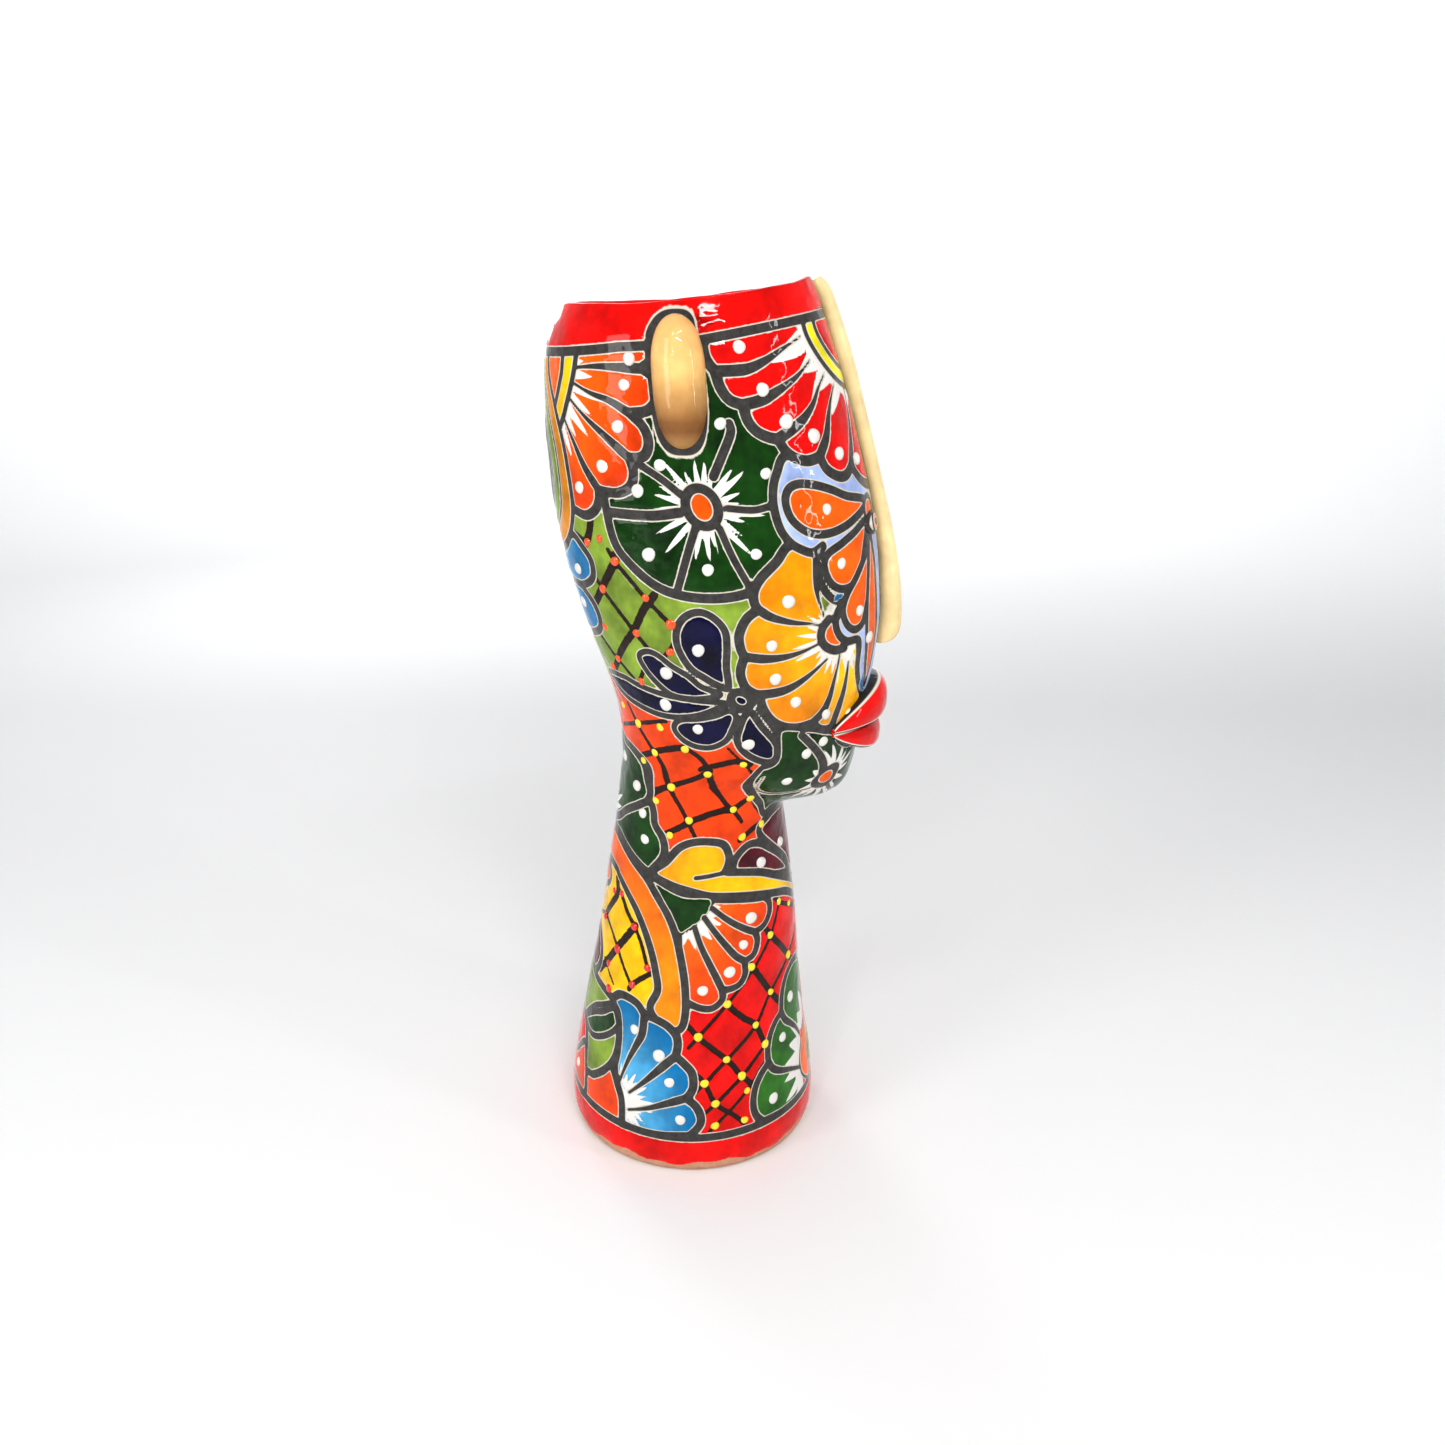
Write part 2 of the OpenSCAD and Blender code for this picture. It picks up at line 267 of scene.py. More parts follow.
class Patch:
    """Paint on a stretch of skin, with one value for each point. Distances are in mm, and a
    line's own paint is where its distance is below nought."""

    def __init__(self, girth, height, ahead, behind):
        self.u, self.v = girth.ravel(), height.ravel()
        self.ahead, self.behind = ahead.ravel(), behind.ravel()
        n = self.u.size
        self.colour = np.tile(GROUND, (n, 1))
        self.ink = np.full(n, FAR)
        self.brush = np.full(n, FAR)
        self.white = np.full(n, -FAR)
        self.bare = np.full(n, -FAR)
        self.drift = np.full(n, 0.1)
        self.cell = np.zeros(n, int)
        self.count = 0


def curve(points, closed=False, pieces=7):
    """Smooth line through points: a Catmull-Rom curve cut into short straight pieces."""
    p = np.asarray(points, float)
    p = np.vstack([p[-1:], p, p[:2]]) if closed else np.vstack([2*p[0] - p[1], p, 2*p[-1] - p[-2]])
    t = np.linspace(0, 1, pieces + 1)[:-1, None]
    runs = [0.5 * (2*b + (c - a)*t + (2*a - 5*b + 4*c - d)*t*t + (3*b - a - 3*c + d)*t*t*t)
            for a, b, c, d in zip(p[:-3], p[1:-2], p[2:-1], p[3:])]
    return np.vstack(runs + [p[1:2] if closed else p[-2:-1]])


def near(patch, line):
    """Points of the patch within reach of the line's bounding box."""
    low, high = line.min(0) - REACH, line.max(0) + REACH
    return np.where((patch.u > low[0]) & (patch.u < high[0])
                    & (patch.v > low[1]) & (patch.v < high[1]))[0]


def gap(u, v, line):
    """Least distance from each point to the straight pieces of a line."""
    best = np.full(u.shape, 1e9)
    for (x0, y0), (x1, y1) in zip(line[:-1], line[1:]):
        dx, dy = x1 - x0, y1 - y0
        t = np.clip(((u - x0)*dx + (v - y0)*dy) / max(dx*dx + dy*dy, 1e-9), 0, 1)
        best = np.minimum(best, (u - x0 - t*dx)**2 + (v - y0 - t*dy)**2)
    return np.sqrt(best)


def within(u, v, line):
    """Whether each point is inside a closed line, by counting crossings."""
    odd = np.zeros(u.shape, bool)
    for (x0, y0), (x1, y1) in zip(line[:-1], line[1:]):
        if y0 != y1:
            odd ^= ((y0 > v) != (y1 > v)) & (u < (x1 - x0) * (v - y0) / (y1 - y0) + x0)
    return odd


def burst(u, v, centre, short, long, spikes, seed):
    """How far each point is inside a ragged star of brushed white: its edge's radius swings
    between short and long as a row of pointed spikes of uneven length."""
    du, dv = u - centre[0], v - centre[1]
    angle = (np.arctan2(dv, du) / (2 * np.pi)) % 1.0 * spikes
    rng = np.random.default_rng(seed)
    lengths, shifts = rng.uniform(0.35, 1.0, spikes), rng.uniform(-0.2, 0.2, spikes)
    k = angle.astype(int) % spikes
    point = np.clip(1 - 2.0 * np.abs(angle - k - 0.5 - shifts[k]), 0, 1)
    return short + (long - short) * lengths[k] * point - np.hypot(du, dv)


def cell(patch, outline, colour, line=4.0, tip=None, axis=None, fade=None, smooth=True, foot=True):
    """One painted cell: its colour fills the closed outline, covering what was there, and a dark
    line runs along the edge. With an axis (base, tip), the line thickens from the base to the
    tip and a pair of colours blends along it. A fade is a burst of white about a point. Without
    a foot, the last side of the outline has no line."""
    loop = curve(outline, closed=True) if smooth else np.asarray(outline + outline[:1], float)
    at = near(patch, loop)
    if at.size == 0:
        return
    u, v = patch.u[at], patch.v[at]
    inside = within(u, v, loop)
    d = gap(u, v, loop if foot else loop[:-1]) * np.where(inside, -1, 1)
    along = np.zeros(at.size)
    if axis is not None:
        (bu, bv), (tu, tv) = axis
        run = (tu - bu)**2 + (tv - bv)**2
        along = np.clip(((u - bu)*(tu - bu) + (v - bv)*(tv - bv)) / run, 0, 1)
    width = line if tip is None else line + (tip - line) * np.clip((along - 0.15) / 0.60, 0, 1)
    pair = colour if isinstance(colour, tuple) else (colour, colour)
    fill = pair[0] + (pair[1] - pair[0]) * np.clip(along * 1.5 - 0.3, 0, 1)[:, None]
    patch.count += 1
    own = at[inside]
    patch.colour[own] = fill[inside]
    patch.drift[own] = np.interp(np.max(pair), [0.03, 0.15, 0.6], [0.85, 0.60, 0.36])
    patch.brush[own] = FAR
    patch.cell[own] = patch.count
    patch.white[own] = -FAR if fade is None else burst(u[inside], v[inside], *fade)
    edge = np.abs(d) - width / 2 if np.max(line) > 0 else np.full(at.size, FAR)
    patch.ink[at] = np.where(inside, edge, np.minimum(edge, patch.ink[at]))


def fan(patch, dividers, ends, colours, line=2.4, end=4.8, fade=None):
    """Petals side by side. Each divider runs out from the middle to a notch, and each end is the
    rounded edge between two notches, so that neighbours share one line. A fade is the middle of
    the white burst at their bases, with its short and long radius."""
    sides = [curve(d) for d in dividers]
    for k, edge in enumerate(ends):
        around = curve([dividers[k][-1]] + edge + [dividers[k + 1][-1]])
        loop = np.vstack([sides[k], around[1:], sides[k + 1][::-1][1:]])
        base = (sides[k][0] + sides[k + 1][0]) / 2
        colour = colours[k % len(colours)]
        cell(patch, loop.tolist(), colour, line=line, tip=end, axis=(base, np.mean(edge, 0)),
             fade=fade + (26, 7 * k + 3) if fade else None, smooth=False, foot=False)


def drop(patch, base, tip, width, colour, line, lean):
    """A teardrop with a pointed base and a round bulb: half width is the sine of s to a power."""
    s = np.linspace(0, 1, 9)
    half = width / 2 * np.clip(np.sin(np.pi * s**lean), 0, 1)**0.62
    b, t = np.array(base, float), np.array(tip, float)
    go = (t - b) / np.linalg.norm(t - b)
    left = np.array([-go[1], go[0]])
    spine = b + s[:, None] * (t - b)
    loop = np.vstack([spine + half[:, None] * left, (spine - half[:, None] * left)[-2:0:-1]])
    cell(patch, loop.tolist(), colour, line=line)


def oval(centre, across, up, lean=0.0):
    """Closed ring of points round an ellipse, leaning by an angle in degrees."""
    a = full_turn(16)
    c, s = math.cos(math.radians(lean)), math.sin(math.radians(lean))
    x, y = across * np.cos(a), up * np.sin(a)
    return np.stack([centre[0] + c*x - s*y, centre[1] + s*x + c*y], -1).tolist()


def stroke(patch, points, width=4.0):
    """A line of dark glaze along a smooth curve, laid over whatever is there."""
    line = curve(points)
    at = near(patch, line)
    if at.size:
        patch.ink[at] = np.minimum(patch.ink[at], gap(patch.u[at], patch.v[at], line) - width / 2)


def lattice(patch, lines):
    """Brushed lines across the newest cell, each with its own width and no white thread beside it."""
    for width, points in lines:
        line = curve(points)
        at = near(patch, line)
        at = at[patch.cell[at] == patch.count]
        if at.size:
            edge = gap(patch.u[at], patch.v[at], line) - width / 2
            patch.brush[at] = np.minimum(patch.brush[at], edge)


def decorate(patch):
    """The whole decoration in the order it covers itself, from the grounds to the top flowers."""
    # red ground under everything, then the lattice of the neck's front
    cell(patch, [(-140, -20), (140, -20), (140, 480), (-140, 480)], RED, line=0, smooth=False)
    lattice(patch, [
        (2.2, [(-3, 76), (2, 82), (17, 99), (31, 115), (42, 131), (49, 147), (54, 156)]),
        (2.4, [(-2, 48), (6, 56), (18, 68), (35, 83), (45, 98), (61, 112), (74, 122)]),
        (2.4, [(3, 36), (12, 44), (27, 57), (42, 70), (55, 82), (72, 96)]),
        (2.0, [(8, 26), (12, 31), (30, 48), (41, 60)]),
        (3.6, [(36, 139), (42, 131), (52, 121), (61, 112), (70, 103)]),
        (3.6, [(22, 126), (31, 116), (45, 98), (54, 88)]),
        (3.4, [(6, 112), (17, 99), (26, 90), (35, 83), (42, 70), (51, 60)]),
        (3.2, [(-7, 92), (2, 82), (18, 68), (27, 57), (39, 45)]),
        (2.8, [(-1, 64), (6, 56), (12, 44), (22, 36), (29, 29)]),
        (2.6, [(38, 158), (49, 147), (62, 140), (80, 131)])])

    # yellow lattice at the back of the neck
    cell(patch, [(-120, 170), (-70, 168), (-45, 160), (-30, 138), (-20, 112), (-21, 96), (-40, 88),
         (-120, 90)], (YELLOW, LEMON), line=4.0)
    lattice(patch, [
        (4.4, [(-66, 102), (-57, 112), (-50, 121), (-43, 130), (-37, 138)]),
        (4.0, [(-68, 131), (-59, 142), (-53, 150), (-54, 158)]),
        (2.2, [(-80, 128), (-68, 132), (-60, 130), (-50, 121), (-43, 112), (-37, 104)]),
        (3.0, [(-52, 153), (-48, 150), (-43, 143), (-38, 138)]),
        (2.4, [(-38, 138), (-33, 130), (-28, 118)]), (3.0, [(-39, 102), (-35, 107), (-24, 116)]),
        (1.6, [(-62, 110), (-57, 106), (-51, 100)])])
    cell(patch, oval((-94, 108), 27, 16), MAROON, line=4.6)
    cell(patch, oval((-92, 155), 28, 11), ORANGE, line=3.4)

    # vermilion lattice across the nape and the side of the neck
    cell(patch, [(-130, 276), (-60, 268), (2, 268), (22, 250), (26, 232), (46, 206), (46, 182),
         (20, 168), (-30, 168), (-130, 190)], VERMILION, line=0)
    lattice(patch, [
        (2.4, [(-74, 246), (-55, 253), (-36, 259)]),
        (3.8, [(-56, 233), (-48, 237), (-43, 240), (-36, 243), (-26, 246)]),
        (3.6, [(-16, 234), (-8, 237), (0, 239), (7, 237)]),
        (5.0, [(-29, 215), (-22, 221), (-15, 227), (-12, 232)]),
        (3.6, [(-8, 202), (2, 206), (10, 208), (16, 208), (26, 214)]),
        (3.4, [(-21, 193), (-13, 198), (-7, 202)]), (3.0, [(20, 190), (27, 194), (36, 197)]),
        (2.2, [(-63, 262), (-54, 250), (-44, 240), (-32, 229), (-20, 220), (-13, 212), (-8, 203),
               (-3, 192)]),
        (2.4, [(-27, 246), (-18, 240), (-11, 231), (-2, 224), (6, 218), (12, 211), (16, 207),
        (21, 200)]), (1.3, [(-5, 247), (3, 238), (11, 231)]), (1.4, [(24, 216), (28, 208), (33, 201)])])

    # olive lattice at the lower back of the head
    cell(patch, [(-130, 384), (-56, 376), (-40, 350), (44, 350), (44, 300), (0, 262), (-60, 274),
         (-130, 280)], OLIVE, line=0)
    lattice(patch, [
        (4.4, [(-75, 312), (-68, 319), (-60, 329), (-53, 338), (-50, 345)]),
        (4.0, [(-72, 274), (-63, 287), (-56, 296), (-48, 305), (-41, 316), (-34, 324)]),
        (4.4, [(-72, 343), (-67, 349), (-64, 356)]),
        (2.5, [(-70, 332), (-64, 323), (-56, 314), (-47, 303), (-42, 297)]),
        (2.5, [(-56, 343), (-53, 338), (-46, 330), (-39, 322), (-29, 311)]),
        (2.0, [(-77, 300), (-68, 291), (-62, 286), (-53, 279)]),
        (2.0, [(-82, 350), (-74, 347), (-69, 344)]), (2.4, [(-35, 292), (-30, 297), (-27, 302)]),
        (2.6, [(-50, 276), (-46, 284)])])
    cell(patch, [(-130, 334), (-104, 336), (-92, 340), (-82, 347), (-74, 342), (-69, 336), (-70, 328),
         (-78, 323), (-90, 321.5), (-130, 322)], (SKY, BLUE), line=3.8, axis=((-120, 330), (-74, 332)))
    cell(patch, [(-130, 321), (-90, 321.5), (-80, 318.5), (-73.5, 313), (-71.3, 306), (-74, 300.5),
         (-82, 297), (-95, 294.5), (-130, 292)], (SKY, BLUE), line=4.0, axis=((-120, 308), (-76, 306)))

    # the great green wheel below the ear
    wheel = [(-52, 374), (-52, 350), (-45, 338), (-30, 327), (-10, 323.5), (10, 326), (24, 335),
             (34, 347), (29, 356), (28, 366), (31, 378), (48, 392), (30, 430), (8, 446),
             (-22, 446), (-30, 410), (-46, 390)]
    cell(patch, wheel, GREEN, line=4.6, fade=((-5, 365), 9.0, 31.0, 25, 3))
    stroke(patch, [(-14, 371), (-22, 378), (-34, 386)], 3.6)
    stroke(patch, [(-16, 363), (-30, 361), (-52, 361)], 4.6)
    stroke(patch, [(-10, 356), (-15, 345), (-22, 328)], 3.6)
    stroke(patch, [(1, 356), (5, 343), (11, 329)], 3.4)
    stroke(patch, [(6, 365), (18, 364), (28, 366)], 3.2)
    stroke(patch, [(2, 379), (8, 389), (13, 398), (13, 402)], 4.0)
    cell(patch, oval((-5.5, 365.5), 7.2, 8.6, 10), ORANGE, line=4.4)

    # orange fan behind the ear, with a yellow band round its middle
    flame = (ORANGE, VERMILION)
    fan(patch, [[(-54, 431), (-36, 433), (-17, 436)], [(-57, 424.5), (-42, 425.5), (-21, 425)],
                [(-60, 418), (-50, 414), (-40, 411), (-31, 406)],
                [(-64, 411), (-55, 403), (-45, 395), (-35, 386.5)],
                [(-71, 403), (-66, 392), (-61, 381), (-55, 371)],
                [(-77, 400), (-75, 380), (-76, 360)]],
        [[(-12, 431)], [(-14, 418), (-21, 408)], [(-25.5, 400), (-24.5, 393), (-28, 387.5)],
         [(-34.3, 380), (-37, 374), (-43, 370.7), (-49, 370.3)],
         [(-56.3, 366), (-60, 361), (-67, 358)]],
        [flame], 1.5, 4.6, ((-80, 424), 21.0, 44.0))
    cell(patch, [(-48, 446), (-54, 431), (-57, 424.5), (-60, 419), (-64, 412.5), (-70, 403.5),
         (-78, 394), (-92, 385), (-130, 385), (-130, 446)], YELLOW, line=2.8, smooth=False)
    cell(patch, [(-58, 446), (-64, 430.5), (-67.5, 422), (-73, 413.5), (-78, 406.5), (-86, 398),
         (-98, 393), (-130, 392), (-130, 446)], ORANGE, line=2.6, smooth=False)

    # round flower in the middle of the back, under a golden hoop
    cell(patch, [(-84, 446), (-82, 420), (-78.5, 408), (-75.5, 396), (-74, 384), (-74.3, 370),
         (-77, 358), (-83, 348), (-92, 341), (-105, 337), (-118, 336), (-135, 340), (-135, 446)], GOLD,
         line=3.0)
    cell(patch, [(-94, 446), (-92, 420), (-88, 405), (-84.5, 392), (-83.5, 380), (-85, 368), (-89, 359),
         (-96, 352), (-106, 347), (-120, 346), (-135, 350), (-135, 446)], OLIVE, line=1.6)
    cell(patch, oval((-116, 382), 23, 31), GREEN, line=2.6, fade=((-116, 382), 9.0, 22.0, 30, 12))
    cell(patch, oval((-116, 382), 7, 9), ORANGE, line=3.0)

    # amber fan on the cheek
    honey, sun = (HONEY, AMBER), (YELLOW, HONEY)
    cell(patch, [(47, 313), (44, 299), (47, 289), (56, 288), (62, 284), (70, 290), (66, 312),
         (54, 318)], GROUND, line=0)
    fan(patch, [[(47, 312), (44, 326), (46, 344)],
                [(47, 307), (40, 309), (30, 310.7), (20, 314), (14, 318)],
                [(45, 299), (35, 295.7), (25, 293.7), (15, 293.5), (5.5, 295)],
                [(48, 290), (37, 282.7), (28, 278), (20, 276), (12, 275.5)],
                [(56, 291), (52.5, 278), (50, 269), (46, 262), (39.5, 257)],
                [(62, 286), (60, 272), (57, 263), (52, 252)],
                [(68, 296), (69, 284), (73, 271), (82, 259)]],
        [[(33, 347.5), (25, 340), (17, 333), (13, 327), (12.5, 321.5)],
         [(8, 313.5), (4, 306), (4, 299.5)], [(3.2, 287), (5, 280), (9, 276.5)],
         [(13, 269), (17, 262), (23, 257.7), (31, 256)], [(43.5, 253), (48, 251.5)],
         [(58, 248.5), (66, 250), (74, 255)]],
        [honey, honey, honey, honey, sun, sun], 1.2, 4.6, ((55, 301), 10.0, 30.0))
    cell(patch, [(48.5, 307), (51, 311), (55, 309), (57.5, 296.5), (53, 295), (48, 298), (46.5, 303)],
         ORANGE, line=0)
    stroke(patch, [(50, 310), (46, 306), (45, 301), (47.5, 296.5), (53, 293.8), (59, 294)], 4.6)

    # lilac flower beside the eye, with orange drops
    cell(patch, [(38, 388), (31.5, 380), (28.5, 373), (27.5, 365), (29, 355), (33, 348.5), (38, 345),
         (44, 343), (50, 345.5), (46.8, 341), (46, 335), (46.5, 329), (49.5, 323), (54, 319),
         (60, 317.5), (55.5, 313), (54, 307), (56, 301), (61, 297), (70, 295.5), (69.5, 283),
         (71.5, 274), (76, 266), (84, 261), (130, 258), (130, 390), (60, 392)], LILAC, line=4.2)
    cell(patch, [(53, 320), (60, 323), (68, 325), (72, 333), (64, 325), (57, 319)], BLUE, line=0)
    cell(patch, [(73, 270), (76, 276), (74, 286), (78, 274), (82, 268), (78, 265)], BLUE, line=0)
    cell(patch, [(33.5, 366), (35.5, 372), (41, 374.5), (50, 373.5), (60, 370.5), (70, 366.5),
         (87, 362), (72, 355), (56, 351), (44, 352), (36, 358)], ORANGE, line=4.0)
    cell(patch, [(50, 338), (53, 341.8), (61, 345), (70, 348.5), (84, 353), (79, 340), (74, 331),
         (67, 324.7), (59, 323.7), (53, 327), (50, 333)], ORANGE, line=4.0)
    cell(patch, [(59, 313), (62, 320), (69, 327), (84, 340), (81, 322), (78, 313), (73.5, 304),
         (66.5, 302), (61, 306)], ORANGE, line=4.0)
    drop(patch, (87, 350), (81, 268), 12, ORANGE, line=3.2, lean=1.2)
    cell(patch, oval((90, 357), 6, 7), ORANGE, line=3.0)

    # great red flower over the forehead
    hub = (97, 452)
    cell(patch, [(50, 470), (50, 444), (100, 366), (130, 364), (130, 470)], RED, line=0,
         fade=(hub, 43.0, 55.0, 40, 22), smooth=False)
    fan(patch, [[(58, 450), (40, 446), (20, 444), (12, 443)],
                [(57, 437.7), (45, 432.7), (35, 428), (25, 424.7), (11, 424)],
                [(60, 427.5), (50, 421), (40, 416), (30, 411.7), (20.5, 409.7)],
                [(68, 421), (62, 415.5), (57, 409), (50, 403), (42, 398.3), (34.5, 394.7)],
                [(75, 416), (70, 410), (66, 403), (62, 394), (56, 386)],
                [(88, 414), (86, 402), (82.5, 390), (79, 380)],
                [(104, 412), (106, 390), (110, 368)]],
        [[(8.5, 439), (8, 430)], [(12, 417), (15, 412)], [(21.6, 403), (25, 398.3), (30, 395.7)],
         [(37.5, 389.5), (42, 386), (48, 384.4), (53, 385)],
         [(58.5, 380.5), (63.5, 377), (69, 375.5), (74, 376.5)],
         [(82, 375.5), (88, 371), (97, 368.5)]],
        [RED], 1.0, 5.0, (hub, 43.0, 68.0))
    cell(patch, oval(hub, 38, 38), LEMON, line=2.8)
    cell(patch, oval(hub, 29.8, 29.8), (MAROON, RED), line=2.6, axis=((130, 470), (80, 430)))

    # dark drops of the five-leaved flower on the jaw
    cell(patch, [(-3, 279.5), (-3.3, 290), (-2.3, 300), (-2.6, 308), (-7, 314), (-13, 316.8),
         (-19.5, 315), (-24.3, 310), (-26.3, 303), (-25, 296), (-20.5, 288.5), (-14, 284), (-8, 280.5)],
         NAVY, line=3.6)
    cell(patch, [(-7, 275.8), (-16, 279.5), (-22, 284.5), (-30, 289), (-37, 293.8), (-43, 294.8),
         (-47.5, 291.5), (-44, 284.5), (-37, 277.5), (-30, 273.5), (-18, 273)], NAVY, line=3.0)
    cell(patch, [(-5, 271.5), (-20, 272.3), (-35, 273.3), (-50, 275.5), (-62, 277.5), (-80, 275),
         (-66, 267), (-50, 263.3), (-35, 261.8), (-20, 264), (-8, 269)], NAVY, line=3.0)
    cell(patch, [(0, 264), (-2.5, 257), (-6, 251), (-13, 247), (-21, 247), (-28, 250.5), (-31.5, 256),
         (-28, 260.8), (-18, 262.7), (-10, 264.8), (-3, 267.5)], NAVY, line=3.0)
    cell(patch, [(7, 267), (12.5, 258), (18, 250), (20.3, 243), (17, 238), (10, 239.5), (3, 244.5),
         (-0.3, 251), (1.3, 258), (4.3, 265)], NAVY, line=3.6)
    cell(patch, oval((2.8, 272.8), 5.0, 4.2, -30), NAVY, line=4.2)
    stroke(patch, [(12, 268), (16, 262), (20, 255), (20.5, 250)], 4.4)

    # green wheel on the chin
    cell(patch, [(19.5, 238), (13.8, 234.5), (13.2, 229.5), (16, 224), (22, 218.5), (28, 212.5),
         (33, 206.5), (37, 200), (48, 203), (66, 194), (130, 186), (130, 262), (62, 250), (50, 250),
         (38, 254), (21, 256)], GREEN, line=3.8, fade=((61, 222), 7.0, 24.0, 15, 30))
    stroke(patch, [(33, 251), (40, 243), (47, 235), (54, 227)], 4.2)
    stroke(patch, [(19, 228), (27, 218), (40, 214), (56, 216)], 0.8)
    stroke(patch, [(66, 217), (72, 210), (82, 203)], 2.4)
    cell(patch, oval((61.5, 221.8), 7.2, 5.2, -25), ORANGE, line=3.6)
    stroke(patch, [(56, 247.5), (63, 250), (70, 253), (80, 257.5), (92, 261), (112, 262)], 3.4)
    stroke(patch, [(55, 246.5), (59, 241.5), (66, 237.5), (76, 235.5), (90, 233), (112, 232)], 3.0)

    # green scallops at the back of the neck
    cell(patch, [(-130, 242), (-85, 240), (-72, 237), (-62, 236), (-50, 232), (-40, 226), (-32, 219),
         (-29.8, 213.5), (-33, 208), (-40, 204), (-50, 198), (-60, 191), (-80, 180), (-130, 180)],
         GREEN, line=4.4, fade=((-78, 190), 14.0, 28.0, 26, 33))
    cell(patch, [(-30, 209.5), (-27, 205), (-26, 198), (-21.5, 192), (-19.8, 186), (-21, 180),
         (-26, 173.5), (-30, 170.5), (-40, 175.5), (-50, 181), (-58, 183.5), (-80, 184), (-60, 191),
         (-50, 198), (-40, 204)], GREEN, line=4.4, fade=((-78, 187), 14.0, 26.0, 26, 34))

    # maroon leaves under the chin
    cell(patch, [(33, 190), (42, 198), (60, 199), (80, 196), (110, 190), (110, 150), (70, 156),
         (58, 168)], MAROON, line=4.0, fade=((82, 158), 8.0, 18.0, 18, 36))
    cell(patch, [(16.5, 175), (18.5, 181), (25, 186), (33, 185), (41, 180), (50, 173.5), (58, 166),
         (63, 159), (50, 162), (38, 166), (26, 170), (18, 172)], MAROON, line=4.2)

    # amber comma leaf and its tail round to the front
    cell(patch, [(-27, 170.5), (-19, 178.3), (-12, 187), (-5, 190.7), (3, 191.2), (11, 189),
         (14.3, 182), (13.5, 176), (13, 173.4), (22, 171.7), (34, 168.5), (45, 163.5), (60, 156),
         (84, 144), (110, 136), (110, 128), (82, 136), (60, 148), (50, 152), (35, 156), (20, 158.7),
         (5, 160.5), (-5, 163), (-18, 166.3)], (HONEY, YELLOW), line=4.2, axis=((-30, 180), (60, 150)))
    stroke(patch, [(-3, 170.7), (3, 171.6), (9, 172.6), (15, 173)], 2.4)

    # green eye of the vermilion fan on the side of the neck, and its petals
    cell(patch, [(-28, 167), (-10, 161), (5, 160), (6, 153), (1, 146), (-5, 141.5), (-11, 138.5),
         (-17, 147), (-22, 157)], GREEN, line=2.4)
    fan(patch, [[(7, 158), (20, 156.5), (37, 154)], [(6, 153.5), (15, 146), (24, 140), (31, 136.3)],
                [(2, 148.5), (8, 140), (15, 131), (20, 125.3), (25.5, 121.3)],
                [(-3, 143), (1, 132), (6, 122), (10.5, 113.5), (13.5, 107.7)],
                [(-11, 138), (-10, 125), (-8, 112), (-6, 102)]],
        [[(40.3, 150), (40.6, 144), (37, 138.5)], [(32.8, 131), (31, 124)],
         [(26.3, 114), (23.5, 109), (18, 107.3)], [(14, 102), (9, 97.8), (2, 98.3)]],
        [(ORANGE, VERMILION)], 3.0, 3.8, ((-8, 152), 15.0, 25.0))

    # orange ribbon sweeping down from the nape
    cell(patch, [(-110, 184), (-75, 182), (-60, 181.5), (-50, 178.7), (-40, 172.8), (-31, 166.3),
         (-25, 159), (-18, 149), (-13, 138), (-9.5, 125), (-6.5, 110), (-5.5, 95), (-8, 86), (-16, 86),
         (-25, 95), (-21.3, 106), (-23, 116), (-26, 126), (-31, 137), (-37, 147), (-44, 154),
         (-52, 160), (-62, 164), (-110, 166)], (AMBER, ORANGE), line=4.2, axis=((-10, 90), (-70, 175)))

    # green fan at the front of the foot
    fan(patch, [[(80, 26), (60, 26), (41, 26)], [(76, 41), (64, 46.5), (55, 50), (48, 54), (44.5, 58.7)],
                [(78, 59), (72, 66), (66, 71), (59, 76.7), (55, 82.5)], [(90, 66), (90, 80), (88, 98)]],
        [[(36.5, 31), (34.3, 38), (35, 47), (39, 54)], [(44, 66), (46, 74), (50, 79.5)],
         [(55.3, 92), (58, 99), (63, 103.5), (70, 105), (78, 103)]],
        [LEAF], 2.0, 4.2, ((98, 46), 30.0, 46.0))
    cell(patch, oval((103, 44), 27.5, 19), (AMBER, ORANGE), line=1.6, axis=((130, 60), (78, 34)))
    cell(patch, oval((106, 40), 15, 12), OLIVE, line=1.6)

    # olive leaf at the back of the foot, with a dark leaf inside it
    cell(patch, [(-130, 99), (-85, 97), (-70, 95), (-57, 93), (-48, 90), (-45, 78), (-46, 65),
         (-50, 56), (-57, 48.5), (-66, 42), (-75, 38), (-77, 50), (-80, 60), (-90, 66), (-130, 66)],
         OLIVE, line=4.6)
    cell(patch, [(-83, 66), (-70, 75.5), (-60, 80.5), (-51, 86.5), (-45.5, 87.5), (-44, 82),
         (-50, 73.5), (-61, 66), (-72, 62.3)], GREEN, line=3.4)
    stroke(patch, [(-84, 68), (-70, 79), (-60, 84.5), (-48, 91)], 3.0)

    # vermilion petals at the back of the foot
    cell(patch, [(-76, 16), (-74.5, 38), (-66, 42), (-57, 48.5), (-50.5, 54), (-45, 45), (-42, 36),
         (-42, 16)], VERMILION, line=4.0)
    cell(patch, [(-130, 36), (-100, 39), (-88, 48), (-80, 53), (-76, 45), (-74, 36), (-77, 24),
         (-100, 18), (-130, 18)], VERMILION, line=3.8)

